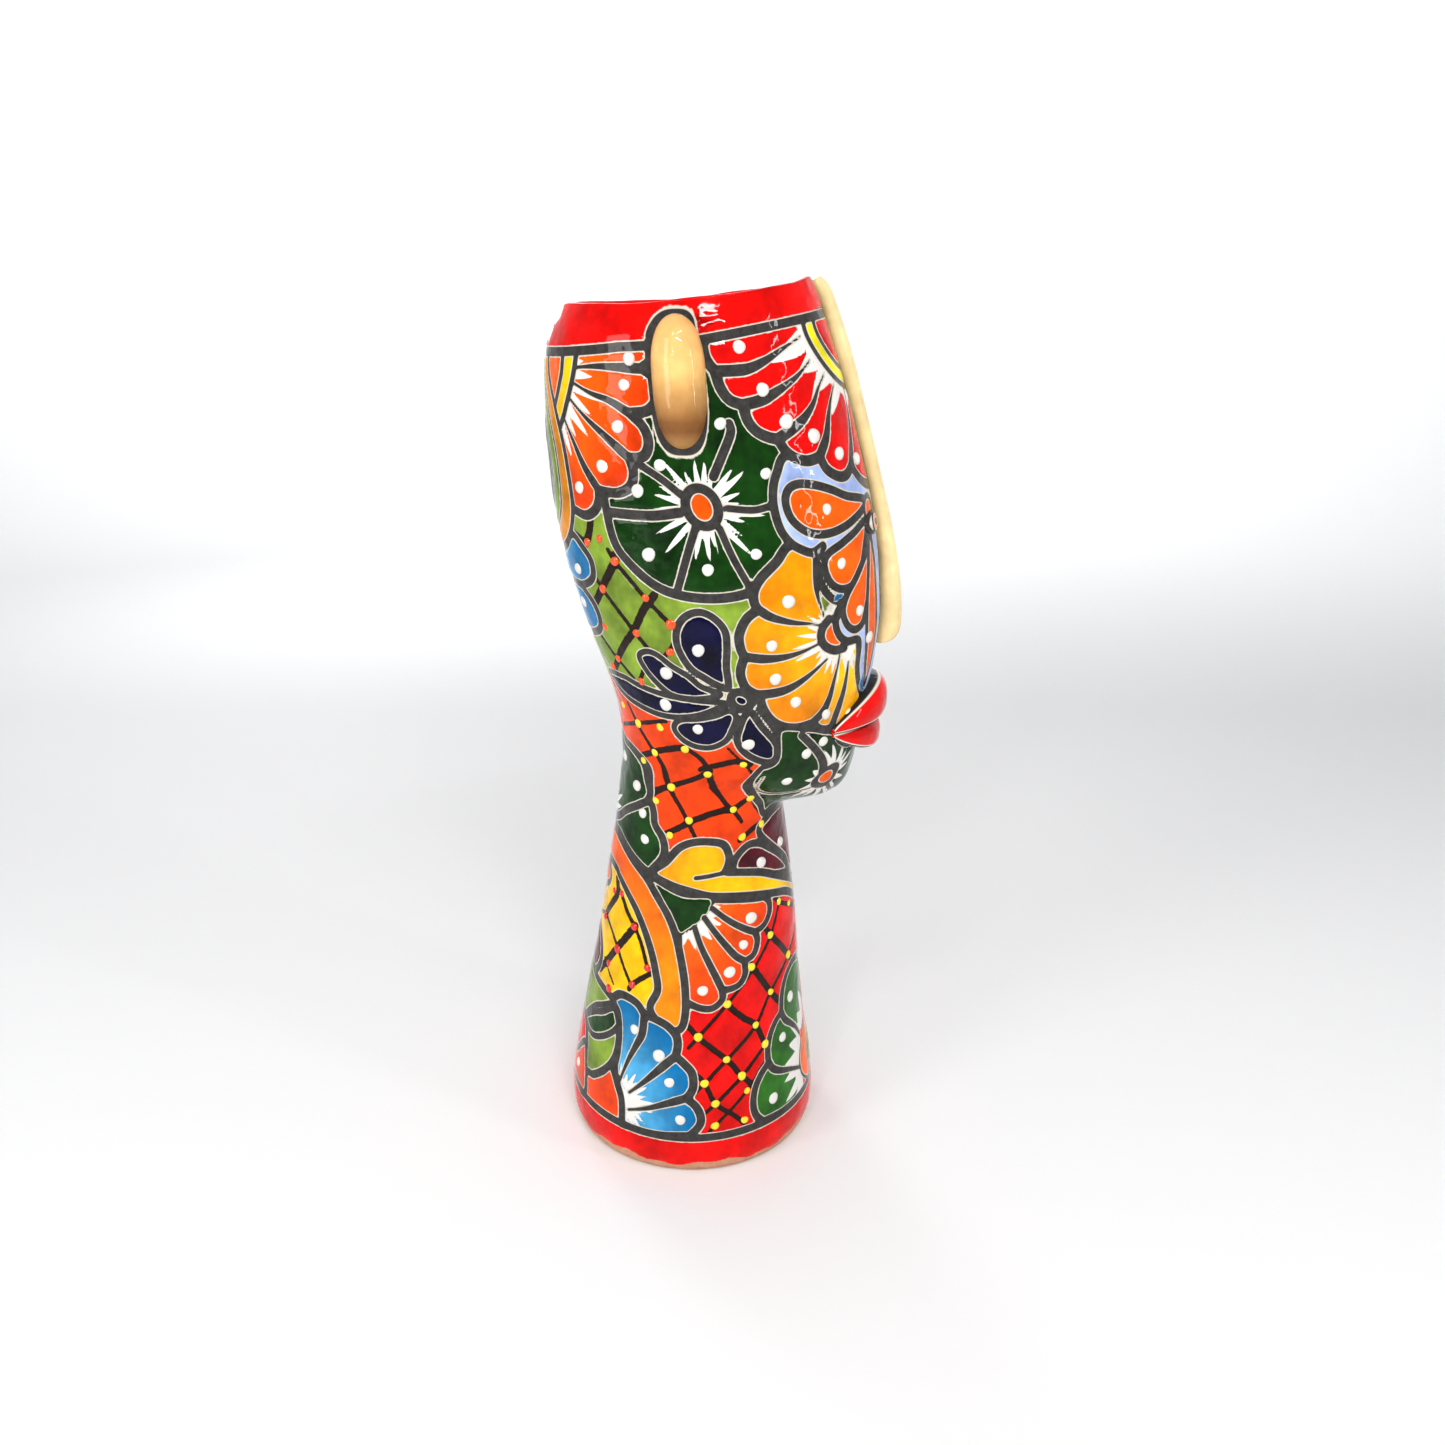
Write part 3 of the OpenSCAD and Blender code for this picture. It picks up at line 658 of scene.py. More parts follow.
    # blue fan on the side of the foot
    cell(patch, [(-45, 58), (-38, 50), (-34, 44), (-34, 34), (-38, 25), (-43, 25), (-44, 40)], GROUND,
         line=0)
    fan(patch, [[(-43, 44), (-46, 58), (-44.5, 70), (-46, 82), (-51, 92)],
                [(-43.5, 49), (-38, 62), (-33, 72), (-29.3, 80), (-28.3, 91)],
                [(-37, 44.5), (-27, 54), (-18, 63), (-9.7, 71)],
                [(-37.5, 34.3), (-25, 39), (-15, 43.5), (-4, 47.8)],
                [(-41, 26), (-20, 25), (-2, 25.5)]],
        [[(-46, 96.3), (-40, 97.3), (-33, 95.7)], [(-22, 90), (-15, 87.3), (-10, 82.5), (-8.8, 77)],
         [(-5, 67), (-0.8, 62), (0, 55), (-1.6, 50.5)], [(1, 43.5), (3.8, 38), (4, 33), (1.3, 28.7)]],
        [(SKY, BLUE)], 1.6, 4.6, ((-42, 40), 10.0, 25.0))
    stroke(patch, [(-50, 90), (-46, 86), (-44.6, 76), (-45.5, 64), (-47.5, 54), (-44.5, 46), (-42, 38),
         (-41.6, 22)], 4.4)

    # foot band, the bare worn edge of the clay, and the line above the band
    cell(patch, [(-140, 22.5), (0, 22), (140, 23.5), (140, -20), (-140, -20)], RED, line=0, smooth=False)
    stroke(patch, [(-140, 25.5), (-60, 24.5), (0, 24), (60, 25.5), (140, 26)], 4.6)
    bare_edge = 7.4
    ragged = bare_edge + 1.1 * np.sin(patch.u / 9.0) + 0.7 * np.sin(patch.u / 3.1 + 1.0)
    patch.bare = np.maximum(patch.bare, ragged - patch.v)

    # red band of the crown, and the heavy line under it
    seam = station(SEAM_RIM)
    level = (seam[1] + seam[3]) / 2
    cross = np.clip(patch.u / 100.0, -1, 1) * np.pi / 2
    edge = level + (seam[1] - seam[3]) / 2 * np.sin(cross) - seam[5] * np.cos(cross)**2
    rise_behind = 2.2
    edge = edge + rise_behind * np.clip(-patch.u / 30, 0, 1)
    crown = patch.v > edge - 1.5
    patch.colour[crown] = RED
    patch.white[crown] = -FAR
    patch.brush[crown] = FAR
    line_below, half_line = 2.2, 2.0
    line = np.abs(patch.v - edge + line_below) - half_line
    patch.ink = np.where(crown, line, np.minimum(line, patch.ink))

    # lines round the ears and down both sides of the nose
    ear_level, ear_behind, ear_slant, ear_half, ear_tall = 419, 6.9, 0.095, 11.8, 28.6
    shift = np.abs(patch.u + ear_behind - (patch.v - ear_level) * ear_slant) / ear_half
    ears = ((shift ** 3 + np.abs((patch.v - ear_level) / ear_tall) ** 3) ** (1 / 3) - 1) * ear_half
    patch.ink = np.where(ears < 0, -1.0, np.minimum(patch.ink, ears - 0.9))
    nose_top, nose_end = 462, 283.0
    nose = patch.ahead - 9.5 - 3.5 * np.clip((nose_top - patch.v) / 170, 0, 1)
    nose = np.maximum(nose, nose_end - patch.v)
    patch.ink = np.where(nose < 0, -1.0, np.minimum(patch.ink, nose - 1.2))


# Shader groups shared by every glaze.
def put(tree, kind, **sockets):
    """Adds a node, and sets or links its inputs by name; a name like in_1 means an input's number."""
    node = tree.nodes.new(kind)
    for key, value in sockets.items():
        if hasattr(node, key) and key not in node.inputs:
            setattr(node, key, value)
            continue
        name = int(key[3:]) if key.startswith("in_") else key.replace("_", " ")
        if isinstance(value, bpy.types.NodeSocket):
            tree.links.new(value, node.inputs[name])
        else:
            node.inputs[name].default_value = value
    return node


def below(tree, value, limit=0.0, soft=0.12):
    """1 where a distance is under a limit, 0 where over, with a soft edge in mm."""
    return put(tree, "ShaderNodeMapRange", interpolation_type="SMOOTHSTEP", Value=value,
               From_Min=limit - soft, From_Max=limit + soft, To_Min=1.0, To_Max=0.0).outputs[0]


def blend(tree, share, first, second):
    """One colour mixed into another by a share."""
    return put(tree, "ShaderNodeMix", data_type="RGBA", in_0=share, in_6=first, in_7=second).outputs[2]


def noise(tree, where, scale, detail, rough=0.5):
    """Noise from 0 to 1, at a scale in lumps to the metre."""
    return put(tree, "ShaderNodeTexNoise", Vector=where, Scale=scale, Detail=detail,
               Roughness=rough).outputs["Fac"]


def times_plus(tree, value, factor, extra=0.0):
    """A value times a factor, plus an extra."""
    return put(tree, "ShaderNodeMath", operation="MULTIPLY_ADD", in_0=value, in_1=factor,
               in_2=extra).outputs[0]


def brushed_tone():
    """Node group: a glaze laid on with a brush. Its tone drifts as the coat is thick or thin, and
    the surface rolls a little. Gives the colour and a height in metres."""
    tree = bpy.data.node_groups.new("brushed tone", "ShaderNodeTree")
    for label, end, kind in (("Colour", "INPUT", "Color"), ("Drift", "INPUT", "Float"),
                             ("Colour", "OUTPUT", "Color"), ("Height", "OUTPUT", "Float")):
        tree.interface.new_socket(label, in_out=end, socket_type="NodeSocket" + kind)
    start, end = tree.nodes.new("NodeGroupInput"), tree.nodes.new("NodeGroupOutput")
    where = put(tree, "ShaderNodeTexCoord").outputs["Object"]
    pool = noise(tree, where, 55.0, 3.0, 0.6)
    hair = put(tree, "ShaderNodeMapping", Vector=where, Scale=(260.0, 260.0, 60.0)).outputs[0]
    both = times_plus(tree, noise(tree, hair, 1.0, 2.0), 0.16, pool)
    gain = put(tree, "ShaderNodeMapRange", Value=both, From_Min=0.33, From_Max=0.83,
               To_Min=-1.0, To_Max=1.0).outputs[0]
    value = times_plus(tree, gain, start.outputs["Drift"], 1.0)
    tone = put(tree, "ShaderNodeHueSaturation", Value=value, Color=start.outputs["Colour"]).outputs[0]
    height = times_plus(tree, noise(tree, where, 62.0, 2.0), 0.0021)
    tree.links.new(tone, end.inputs["Colour"])
    tree.links.new(height, end.inputs["Height"])
    return tree


TONE = brushed_tone()


def use_tone(tree, colour, drift):
    """Places the brushed tone group on a colour."""
    return put(tree, "ShaderNodeGroup", node_tree=TONE, Colour=colour, Drift=drift)


def relief(tree, shader, height, strength):
    """Feeds a height in metres to the shader's normal as a bump."""
    bump = put(tree, "ShaderNodeBump", Height=height, Strength=strength, Distance=1.0)
    tree.links.new(bump.outputs[0], shader.inputs["Normal"])


def fired_clay(tree, where):
    """Bare red clay: two noises mix three earth tones, and the finer one is its grain."""
    grain = noise(tree, where, 900.0, 3.0)
    warm = blend(tree, noise(tree, where, 90.0, 4.0), (0.50, 0.23, 0.13, 1), (0.72, 0.42, 0.29, 1))
    speck = put(tree, "ShaderNodeMapRange", Value=grain, From_Min=0.55, From_Max=0.75).outputs[0]
    return blend(tree, speck, warm, (0.40, 0.18, 0.11, 1)), grain


def painted_glaze(name):
    """The painted skin: cell colours, white ground showing in bursts and beside the lines, thin
    lattice strokes, dark outlines, all fired to one glossy skin; bare clay where unglazed."""
    material, tree, shader = new_finish(name)
    where = put(tree, "ShaderNodeTexCoord").outputs["Object"]
    mark = {m: put(tree, "ShaderNodeAttribute", attribute_name=m).outputs["Fac"]
            for m in ("ink", "brush", "white", "bare", "drift")}
    paint = put(tree, "ShaderNodeAttribute", attribute_name="paint").outputs["Color"]
    shake = times_plus(tree, noise(tree, where, 420.0, 2.0), 0.9, -0.45)
    toned = use_tone(tree, paint, mark["drift"])
    ground = times_plus(tree, mark["white"], -1.0, shake)
    colour = blend(tree, below(tree, ground, 0.0, 0.7), toned.outputs["Colour"], (0.82, 0.79, 0.75, 1))
    brushed = times_plus(tree, mark["brush"], 1.0, shake)
    colour = blend(tree, below(tree, brushed, 0.0, 0.2), colour, (0.022, 0.010, 0.006, 1))
    thread = times_plus(tree, shake, 0.9, mark["ink"])
    colour = blend(tree, below(tree, thread, 0.56, 0.16), colour, (0.66, 0.61, 0.52, 1))
    grey = blend(tree, noise(tree, where, 260.0, 4.0, 0.7), (0.006, 0.005, 0.004, 1),
    (0.100, 0.096, 0.092, 1))
    colour = blend(tree, below(tree, mark["ink"], 0.0, 0.12), colour, grey)
    clay, grain = fired_clay(tree, where)
    worn = below(tree, times_plus(tree, mark["bare"], -1.0, shake), 0.0, 0.25)
    colour = blend(tree, worn, colour, clay)
    tree.links.new(colour, shader.inputs["Base Color"])
    rough = put(tree, "ShaderNodeMapRange", Value=worn, To_Min=0.05, To_Max=0.85).outputs[0]
    tree.links.new(rough, shader.inputs["Roughness"])
    shader.inputs["IOR"].default_value = 1.34
    height = times_plus(tree, times_plus(tree, grain, worn), 0.0004, toned.outputs["Height"])
    relief(tree, shader, height, 0.7)
    return material


# ---------------------------------------------------------------------------------------------
# Neck, head and rim: the three rings of the body. Each is a closed wall, glazed outside, with
# its painted cells standing a little proud of the lines between them.
# ---------------------------------------------------------------------------------------------
AROUND = 384         # points round a ring
PAINT_RELIEF = 0.35  # how far the glaze of a cell stands over the lines, mm
LAP_LEVEL = 436.0    # where the glaze that laps over the rim stops inside, mm
SWAY_LEVEL = 446.0   # where the rim starts to waver, mm


def build(name, points, faces, material, marks=None, paint=None, sharp_rows=None, columns=0):
    """Makes an object from points in mm and faces, smooth, with named values at its points."""
    mesh = bpy.data.meshes.new(name)
    mesh.from_pydata((points / 1000.0).tolist(), [], faces)
    mesh.update()
    mesh.polygons.foreach_set("use_smooth", np.ones(len(mesh.polygons), bool))
    for key, values in (marks or {}).items():
        mesh.attributes.new(key, "FLOAT", "POINT").data.foreach_set("value", values.astype(np.float32))
    if paint is not None:
        rgba = np.hstack([paint, np.ones((len(paint), 1))]).astype(np.float32)
        mesh.attributes.new("paint", "FLOAT_COLOR", "POINT").data.foreach_set("color", rgba.ravel())
    if sharp_rows:
        ends = np.zeros(len(mesh.edges) * 2, int)
        mesh.edges.foreach_get("vertices", ends)
        rows = ends.reshape(-1, 2) // columns
        crease = (rows[:, 0] == rows[:, 1]) & np.isin(rows[:, 0], sharp_rows)
        mesh.attributes.new("sharp_edge", "BOOLEAN", "EDGE").data.foreach_set("value", crease)
    mesh.materials.append(material)
    thing = bpy.data.objects.new(name, mesh)
    scene.collection.objects.link(thing)
    return thing


def ring_faces(rows, columns, wrap):
    """Four-cornered faces between rows of points that run round. With wrap, the last row joins
    the first."""
    i, k = np.meshgrid(np.arange(rows if wrap else rows - 1), np.arange(columns), indexing="ij")
    j, l = (i + 1) % rows, (k + 1) % columns
    return np.stack([i*columns + k, i*columns + l, j*columns + l, j*columns + k], -1).reshape(-1, 4)


def body_ring(name, start, stop, rows, inner_start, inner_rows, material, closing=(), crest=()):
    """A closed wall between two places along the body. Outside, points follow the stations and
    move out by the relief of the paint; inside they follow the stations moved in by the wall."""
    turn = -full_turn(AROUND)
    # rows are spaced evenly along the front and back outlines
    fine = np.linspace(start, stop, 800)
    s = station(fine)
    way = np.hypot(np.diff(s[:, 0]), np.diff(s[:, 1])) + np.hypot(np.diff(s[:, 2]), np.diff(s[:, 3]))
    place = np.interp(np.linspace(0, way.sum(), rows), np.r_[0, np.cumsum(way)], fine)
    P, T = np.meshgrid(place, turn, indexing="ij")
    outside = on_ring(station(P), T)
    ahead_of = girth_at(np.zeros_like(T), outside[..., 2])
    behind_of = girth_at(np.full_like(T, np.pi), outside[..., 2])
    fold = np.pi - np.abs((np.abs(T) % (2 * np.pi)) - np.pi)
    girth = girth_at(fold, outside[..., 2])
    patch = Patch(girth, outside[..., 2], ahead_of - girth, girth - behind_of)
    decorate(patch)
    step = 1e-3
    along = (on_ring(station(np.minimum(P + step, SHOULDER)), T)
             - on_ring(station(np.maximum(P - step, 0)), T))
    across = on_ring(station(P), T + step) - on_ring(station(P), T - step)
    out = np.cross(across, along)
    out = out / np.linalg.norm(out, axis=-1, keepdims=True)
    centre = outside.mean(1, keepdims=True)
    out *= np.sign(np.sum(out * (outside - centre), -1).mean())
    ripple = (0.20 * np.sin(outside[..., 2] / 11 + 2 * T) + 0.16 * np.sin(3 * T - outside[..., 2] / 23)
              + 0.09 * np.sin(outside[..., 2] / 5.3 + 5 * T)) * np.clip(outside[..., 2] / 10, 0, 1)
    outside = outside + out * ripple[..., None]
    lift = np.clip(np.minimum(patch.ink, patch.brush + 0.6) / 1.5, 0, 1)
    lift = (lift * lift * (3 - 2 * lift) * PAINT_RELIEF * (patch.bare < 0)).reshape(P.shape)
    outside = outside + out * lift[..., None]
    layers = [outside]
    for extra in crest:
        layers.append(on_ring(np.broadcast_to(extra, (1, AROUND, 7)), turn[None]))
    P_in, T_in = np.meshgrid(np.linspace(stop, inner_start, inner_rows), turn, indexing="ij")
    layers.append(on_ring(inner_station(P_in), T_in))
    for radius, level in closing:
        flat = np.array([radius, level, -radius, level, radius, 0, 0], float)
        layers.append(on_ring(np.broadcast_to(flat, (1, AROUND, 7)), turn[None]))
    points = np.concatenate(layers)
    sway = 0.6 * np.sin(2 * turn + 1) + 0.45 * np.sin(5 * turn + 0.5) + 0.3 * np.sin(9 * turn)
    points[..., 2] += sway * np.clip((points[..., 2] - SWAY_LEVEL) / 12, 0, 1) * (stop == SHOULDER)
    total = len(points)
    n_out, n_all = outside.shape[0] * AROUND, total * AROUND
    pad = n_all - n_out
    is_crest = np.arange(pad) < len(crest) * AROUND
    lap = points.reshape(-1, 3)[n_out:, 2] - LAP_LEVEL - 3.0 * np.sin(np.tile(turn, total - rows) * 5)
    inside_bare = np.where(is_crest, -FAR, -lap if stop == SHOULDER else FAR)
    marks = {
        "ink": np.r_[patch.ink, np.full(pad, FAR)], "brush": np.r_[patch.brush, np.full(pad, FAR)],
        "white": np.r_[patch.white, np.full(pad, -FAR)], "bare": np.r_[patch.bare, inside_bare],
        "drift": np.r_[patch.drift, np.full(pad, 0.26)]}
    paint = np.vstack([patch.colour, np.tile(RED, (pad, 1))])
    faces = ring_faces(total, AROUND, True).tolist()
    sharp = [0] if crest else [0, rows - 1, rows, total - 1]
    return build(name, points.reshape(-1, 3), faces, material, marks, paint, sharp, AROUND)


skin = painted_glaze("painted glaze")
neck = body_ring("neck_glazed", 0, SEAM_NECK, 184, 3, 16, skin, closing=[(57.0, 9.0), (57.0, 0.0)])
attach(neck, "root")
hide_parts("neck")

head = body_ring("head_glazed", SEAM_NECK, SEAM_RIM, 232, SEAM_NECK, 20, skin)
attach(head, "root")
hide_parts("head")

# The rim's crest is wiped round with a wet finger, so it rolls over in an even arch.
shoulder_out, shoulder_in = station(SHOULDER), inner_station(np.array(float(SHOULDER)))
rise = np.array([0, 1.6, 0, 1.6, 0, 0, 0])
crests = []
for share in np.linspace(0, 1, 11)[1:-1]:
    arch = shoulder_out * (1 - share) + shoulder_in * share
    crests.append(arch + rise * math.sin(math.pi * share) ** 0.8)
rim = body_ring("rim_glazed", SEAM_RIM, SHOULDER, 30, SEAM_RIM, 12, skin, crest=crests)
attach(rim, "root")
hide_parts("rim_band")


# ---------------------------------------------------------------------------------------------
# Foot slab: a rolled disc of clay let into the foot, bare and dusty underneath, with the
# faint rings left by the turntable it was trimmed on.
# ---------------------------------------------------------------------------------------------
SLAB_RADIUS = 56.85
SLAB_THICK = 9.0


def bare_clay_material():
    """Unglazed clay, dry and grainy."""
    material, tree, shader = new_finish("bare clay")
    where = put(tree, "ShaderNodeTexCoord").outputs["Object"]
    clay, grain = fired_clay(tree, where)
    tree.links.new(clay, shader.inputs["Base Color"])
    shader.inputs["Roughness"].default_value = 0.88
    relief(tree, shader, times_plus(tree, grain, 0.0005), 0.7)
    return material


def turned_disc(radius, thick, columns=128):
    """A disc as rings of a turned profile: up the middle of the bottom to the edge and over the
    top. The bottom is cut by shallow grooves, a sine of the radius, and stays above the table."""
    inner = np.linspace(0.8, radius - 1.0, 60)
    groove = 0.12 * (1 + np.sin(inner * 1.1))
    bottom = np.stack([inner, groove], -1)
    bend = np.linspace(-np.pi / 2, 0, 6)
    low = np.stack([radius - 1.0 + np.cos(bend), 1.0 + np.sin(bend)], -1)
    high = np.stack([radius - 1.0 + np.cos(-bend[::-1]), thick - 1.0 + np.sin(-bend[::-1])], -1)
    top = np.stack([np.linspace(radius - 1.0, 0.8, 20), np.full(20, thick)], -1)[1:]
    profile = np.vstack([bottom, low[1:], high, top])
    a = full_turn(columns)
    rings = np.stack([profile[:, :1] * np.cos(a), profile[:, :1] * np.sin(a),
                      np.repeat(profile[:, 1:], columns, 1)], -1)
    faces = ring_faces(len(profile), columns, False).tolist()
    faces.append(list(range(columns))[::-1])
    faces.append([(len(profile) - 1) * columns + k for k in range(columns)])
    return rings.reshape(-1, 3), faces


clay = bare_clay_material()
points, faces = turned_disc(SLAB_RADIUS, SLAB_THICK)
slab = build("foot_slab_clay", points, faces, clay)
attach(slab, "root")
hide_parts("foot_slab")


# ---------------------------------------------------------------------------------------------
# Nose: a coil of clay laid down the middle of the face from the rim, smoothed in at the edges
# and glazed tan. Its tip is the widest and proudest part.
# ---------------------------------------------------------------------------------------------
BITE = 2.5          # how far each applied piece is pressed into the clay, mm
# height and relief of the ridge's crest, mm
NOSE_LINE = np.array([[462, 3.5], [458, 6.2], [448, 7], [425, 7.6], [392, 7], [357, 7.8], [325, 10],
                      [300, 12], [293, 12], [288.5, 9.5], [286.5, 5]])


def place_at(turn, height):
    """Place along the body where the outside stands at a height, by halving the interval."""
    low = np.full(np.shape(height), SEAM_NECK + 4.0)
    high = np.full(np.shape(height), float(SHOULDER))
    for _ in range(24):
        mid = (low + high) / 2
        under = on_ring(station(mid), turn)[..., 2] < height
        low, high = np.where(under, mid, low), np.where(under, high, mid)
    return (low + high) / 2


def on_face(turn, height, depth):
    """A point of the outside at an angle and height, pushed out by a depth along its normal."""
    turn, height = np.broadcast_arrays(np.asarray(turn, float), np.asarray(height, float))
    def skin_point(a, z):
        return on_ring(station(place_at(a, z)), a)
    step = math.radians(1.0)
    across = skin_point(turn - step, height) - skin_point(turn + step, height)
    up = skin_point(turn, height + 1) - skin_point(turn, height - 1)
    out = np.cross(across, up)
    out = out / np.linalg.norm(out, axis=-1, keepdims=True)
    return skin_point(turn, height) + out * np.asarray(depth)[..., None], out


def closed_loft(rows, columns):
    """Faces of a tube of rings with a middle point closing each end, numbered after the rings."""
    faces = ring_faces(rows, columns, False).tolist()
    start, end = rows * columns, rows * columns + 1
    for k in range(columns):
        l = (k + 1) % columns
        faces.append([start, l, k])
        faces.append([end, (rows - 1) * columns + k, (rows - 1) * columns + l])
    return faces


def loft(name, rings, material, marks=None, paint=None):
    """Closes a stack of rings into a solid piece. Its faces are turned outwards if need be."""
    rows, columns = rings.shape[:2]
    points = np.vstack([rings.reshape(-1, 3), rings[0].mean(0), rings[-1].mean(0)])
    faces = np.array([f if len(f) == 4 else f + [f[2]] for f in closed_loft(rows, columns)])
    a, b, c, d = (points[faces[:, k]] for k in range(4))
    volume = np.sum(np.cross(a, b) * c + np.cross(a, c) * d)
    if volume < 0:
        faces = faces[:, ::-1]
    clean = [list(dict.fromkeys(f)) for f in faces.tolist()]
    return build(name, points, clean, material, marks, paint)


def smooth_rows(table, count):
    """A smooth curve through the rows of a table, cut into a number of rows spaced evenly."""
    spine = curve(table, pieces=24)
    way = np.r_[0, np.cumsum(np.linalg.norm(np.diff(spine, axis=0), axis=1))]
    return np.stack([np.interp(np.linspace(0, way[-1], count), way, spine[:, k]) for k in range(2)], -1)


def plain_glaze(name, colour, shaded_tone, drift=0.2):
    """One glossy glaze with painted shade: an attribute called shade blends its colour into a darker
    tone where shade is painted, and one called ink adds the dark outline."""
    material, tree, shader = new_finish(name)
    shade = put(tree, "ShaderNodeAttribute", attribute_name="shade").outputs["Fac"]
    line = put(tree, "ShaderNodeAttribute", attribute_name="ink").outputs["Fac"]
    # painted shade: the colour blends into the darker tone as the shade attribute rises
    two = blend(tree, shade, (*colour, 1), (*shaded_tone, 1))
    toned = use_tone(tree, two, drift)
    pale = blend(tree, below(tree, line, 0.7, 0.2), toned.outputs["Colour"], (0.80, 0.74, 0.64, 1))
    inked = blend(tree, below(tree, line, 0.0, 0.15), pale, (0.03, 0.027, 0.025, 1))
    tree.links.new(inked, shader.inputs["Base Color"])
    shader.inputs["Roughness"].default_value = 0.06
    shader.inputs["IOR"].default_value = 1.36
    relief(tree, shader, toned.outputs["Height"], 0.6)
    return material


tan = plain_glaze("tan glaze", glaze("eebc78"), glaze("74441c"))
pale_tan = plain_glaze("pale tan glaze", glaze("f8e2ac"), glaze("e6b070"))
NOSE_TOP, NOSE_END = 462, 286
rows = smooth_rows(NOSE_LINE, 150)
fall = (NOSE_TOP - rows[:, 0]) / (NOSE_TOP - NOSE_END)
half = (6 + 4 * np.clip(fall, 0, 1) ** 1.6) * (0.55 + 0.45 * np.minimum(1, rows[:, 1] / 7))
level = np.minimum(rows[:, 0], NOSE_TOP - 2)
root, _ = on_face(np.zeros(len(rows)), level, np.zeros(len(rows)))
_, out = on_face(np.zeros(len(rows)), level - 1, np.zeros(len(rows)))
a = full_turn(48)
lift = rows[:, 1:] / 2 - BITE / 2 + (rows[:, 1:] / 2 + BITE / 2) * np.cos(a)
rings = root[:, None] + out[:, None] * lift[..., None]
rings[..., 1] += half[:, None] * np.sin(a)
rings[..., 2] += (rows[:, 0] - level)[:, None]
height = np.r_[rings[..., 2].ravel(), NOSE_TOP, NOSE_END]
# painted shade down both sides of the nose; the nose also darkens towards its tip
side_shade = np.r_[np.repeat(np.clip(np.abs(np.sin(a)) * 2 - 1.1, 0, 1)[None], len(rows), 0).ravel(), 0, 0]
shade = np.maximum(np.clip((312 - height) / 40, 0, 1) * 0.4, side_shade * 0.25)
nose = loft("nose_glazed", rings, pale_tan, {"shade": shade, "ink": np.full(len(height), FAR)})
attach(nose, "root")
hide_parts("nose_ridge")


# ---------------------------------------------------------------------------------------------
# Lips: two pads of clay pressed on one over the other, thick in the middle and fine at the
# corners, red, with a dark line painted where they meet and round their outer edges.
# ---------------------------------------------------------------------------------------------
MOUTH_LEVEL, MOUTH_BREADTH, LIP_RELIEF = 248.0, 82.0, 12.0
lip_red = plain_glaze("lip glaze", glaze("ee0f0c"), glaze("b00808"), 0.15)


def full(v):
    """A wave rounded out fuller than a cosine: its size to the power 0.8, with its sign."""
    return np.sign(v) * np.abs(v) ** 0.8


def lip(name, node, height, side):
    """A pad along the face: each ring is a full oval, swelling from the corners as a cosine."""
    u = np.linspace(-1, 1, 121)
    share = 0.12
    place = place_at(0.0, np.array(MOUTH_LEVEL))
    corner = math.asin(MOUTH_BREADTH / 2 / station(place)[4])
    swell = share + (1 - share) * np.clip(np.cos(np.pi / 2 * u), 0, 1) ** 0.8
    half = height / 2 * swell
    relief = LIP_RELIEF * (share + (1 - share) * np.cos(math.radians(88) * u))
    a = full_turn(56)
    z = MOUTH_LEVEL + side * half
    depth = relief[:, None] / 2 - BITE / 2 + (relief[:, None] / 2 + BITE / 2) * full(np.cos(a))
    turn = np.repeat((corner * u)[:, None], len(a), 1)
    rings, _ = on_face(turn, np.repeat(z[:, None], len(a), 1), depth)
    rings[..., 2] += half[:, None] * full(np.sin(a))
    # distance up from the line where the lips meet, and from the outer edge on the face
    up = side * (rings[..., 2] - MOUTH_LEVEL)
    meet = up - (1.1 * swell[:, None] if side > 0 else 0.5)
    rim_line = 1.1 if side > 0 else 0.8
    edge = 2 * half[:, None] - up - rim_line * (0.4 + 0.6 * swell[:, None])
    ink = np.minimum(meet, edge)
    # painted shade: each lip darkens towards the line where they meet, the lower lip more so
    shade = np.clip(1 - up / (2 * half[:, None]), 0, 1) * (0.55 if side > 0 else 0.9)
    flat = np.r_[ink.ravel(), FAR, FAR]
    piece = loft(name, rings, lip_red, {"ink": flat, "shade": np.r_[shade.ravel(), 0, 0]})
    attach(piece, "root")
    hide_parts(node)
    return piece


upper_lip = lip("upper_lip_glazed", "upper_lip", 21.0, 1)
lower_lip = lip("lower_lip_glazed", "lower_lip", 17.0, -1)


# ---------------------------------------------------------------------------------------------
# Ears: one long pad of clay on each side of the head, pressed on and wiped smooth, tan above,
# with painted shade darkening it towards the lobe.
# ---------------------------------------------------------------------------------------------
EAR_HEIGHT, EAR_BREADTH, EAR_LEVEL, EAR_BACK, EAR_LEAN = 58.0, 24.0, 419.0, 6.0, 4.5
EAR_PRESSED = 0.25   # share of its depth that the half inside the wall keeps


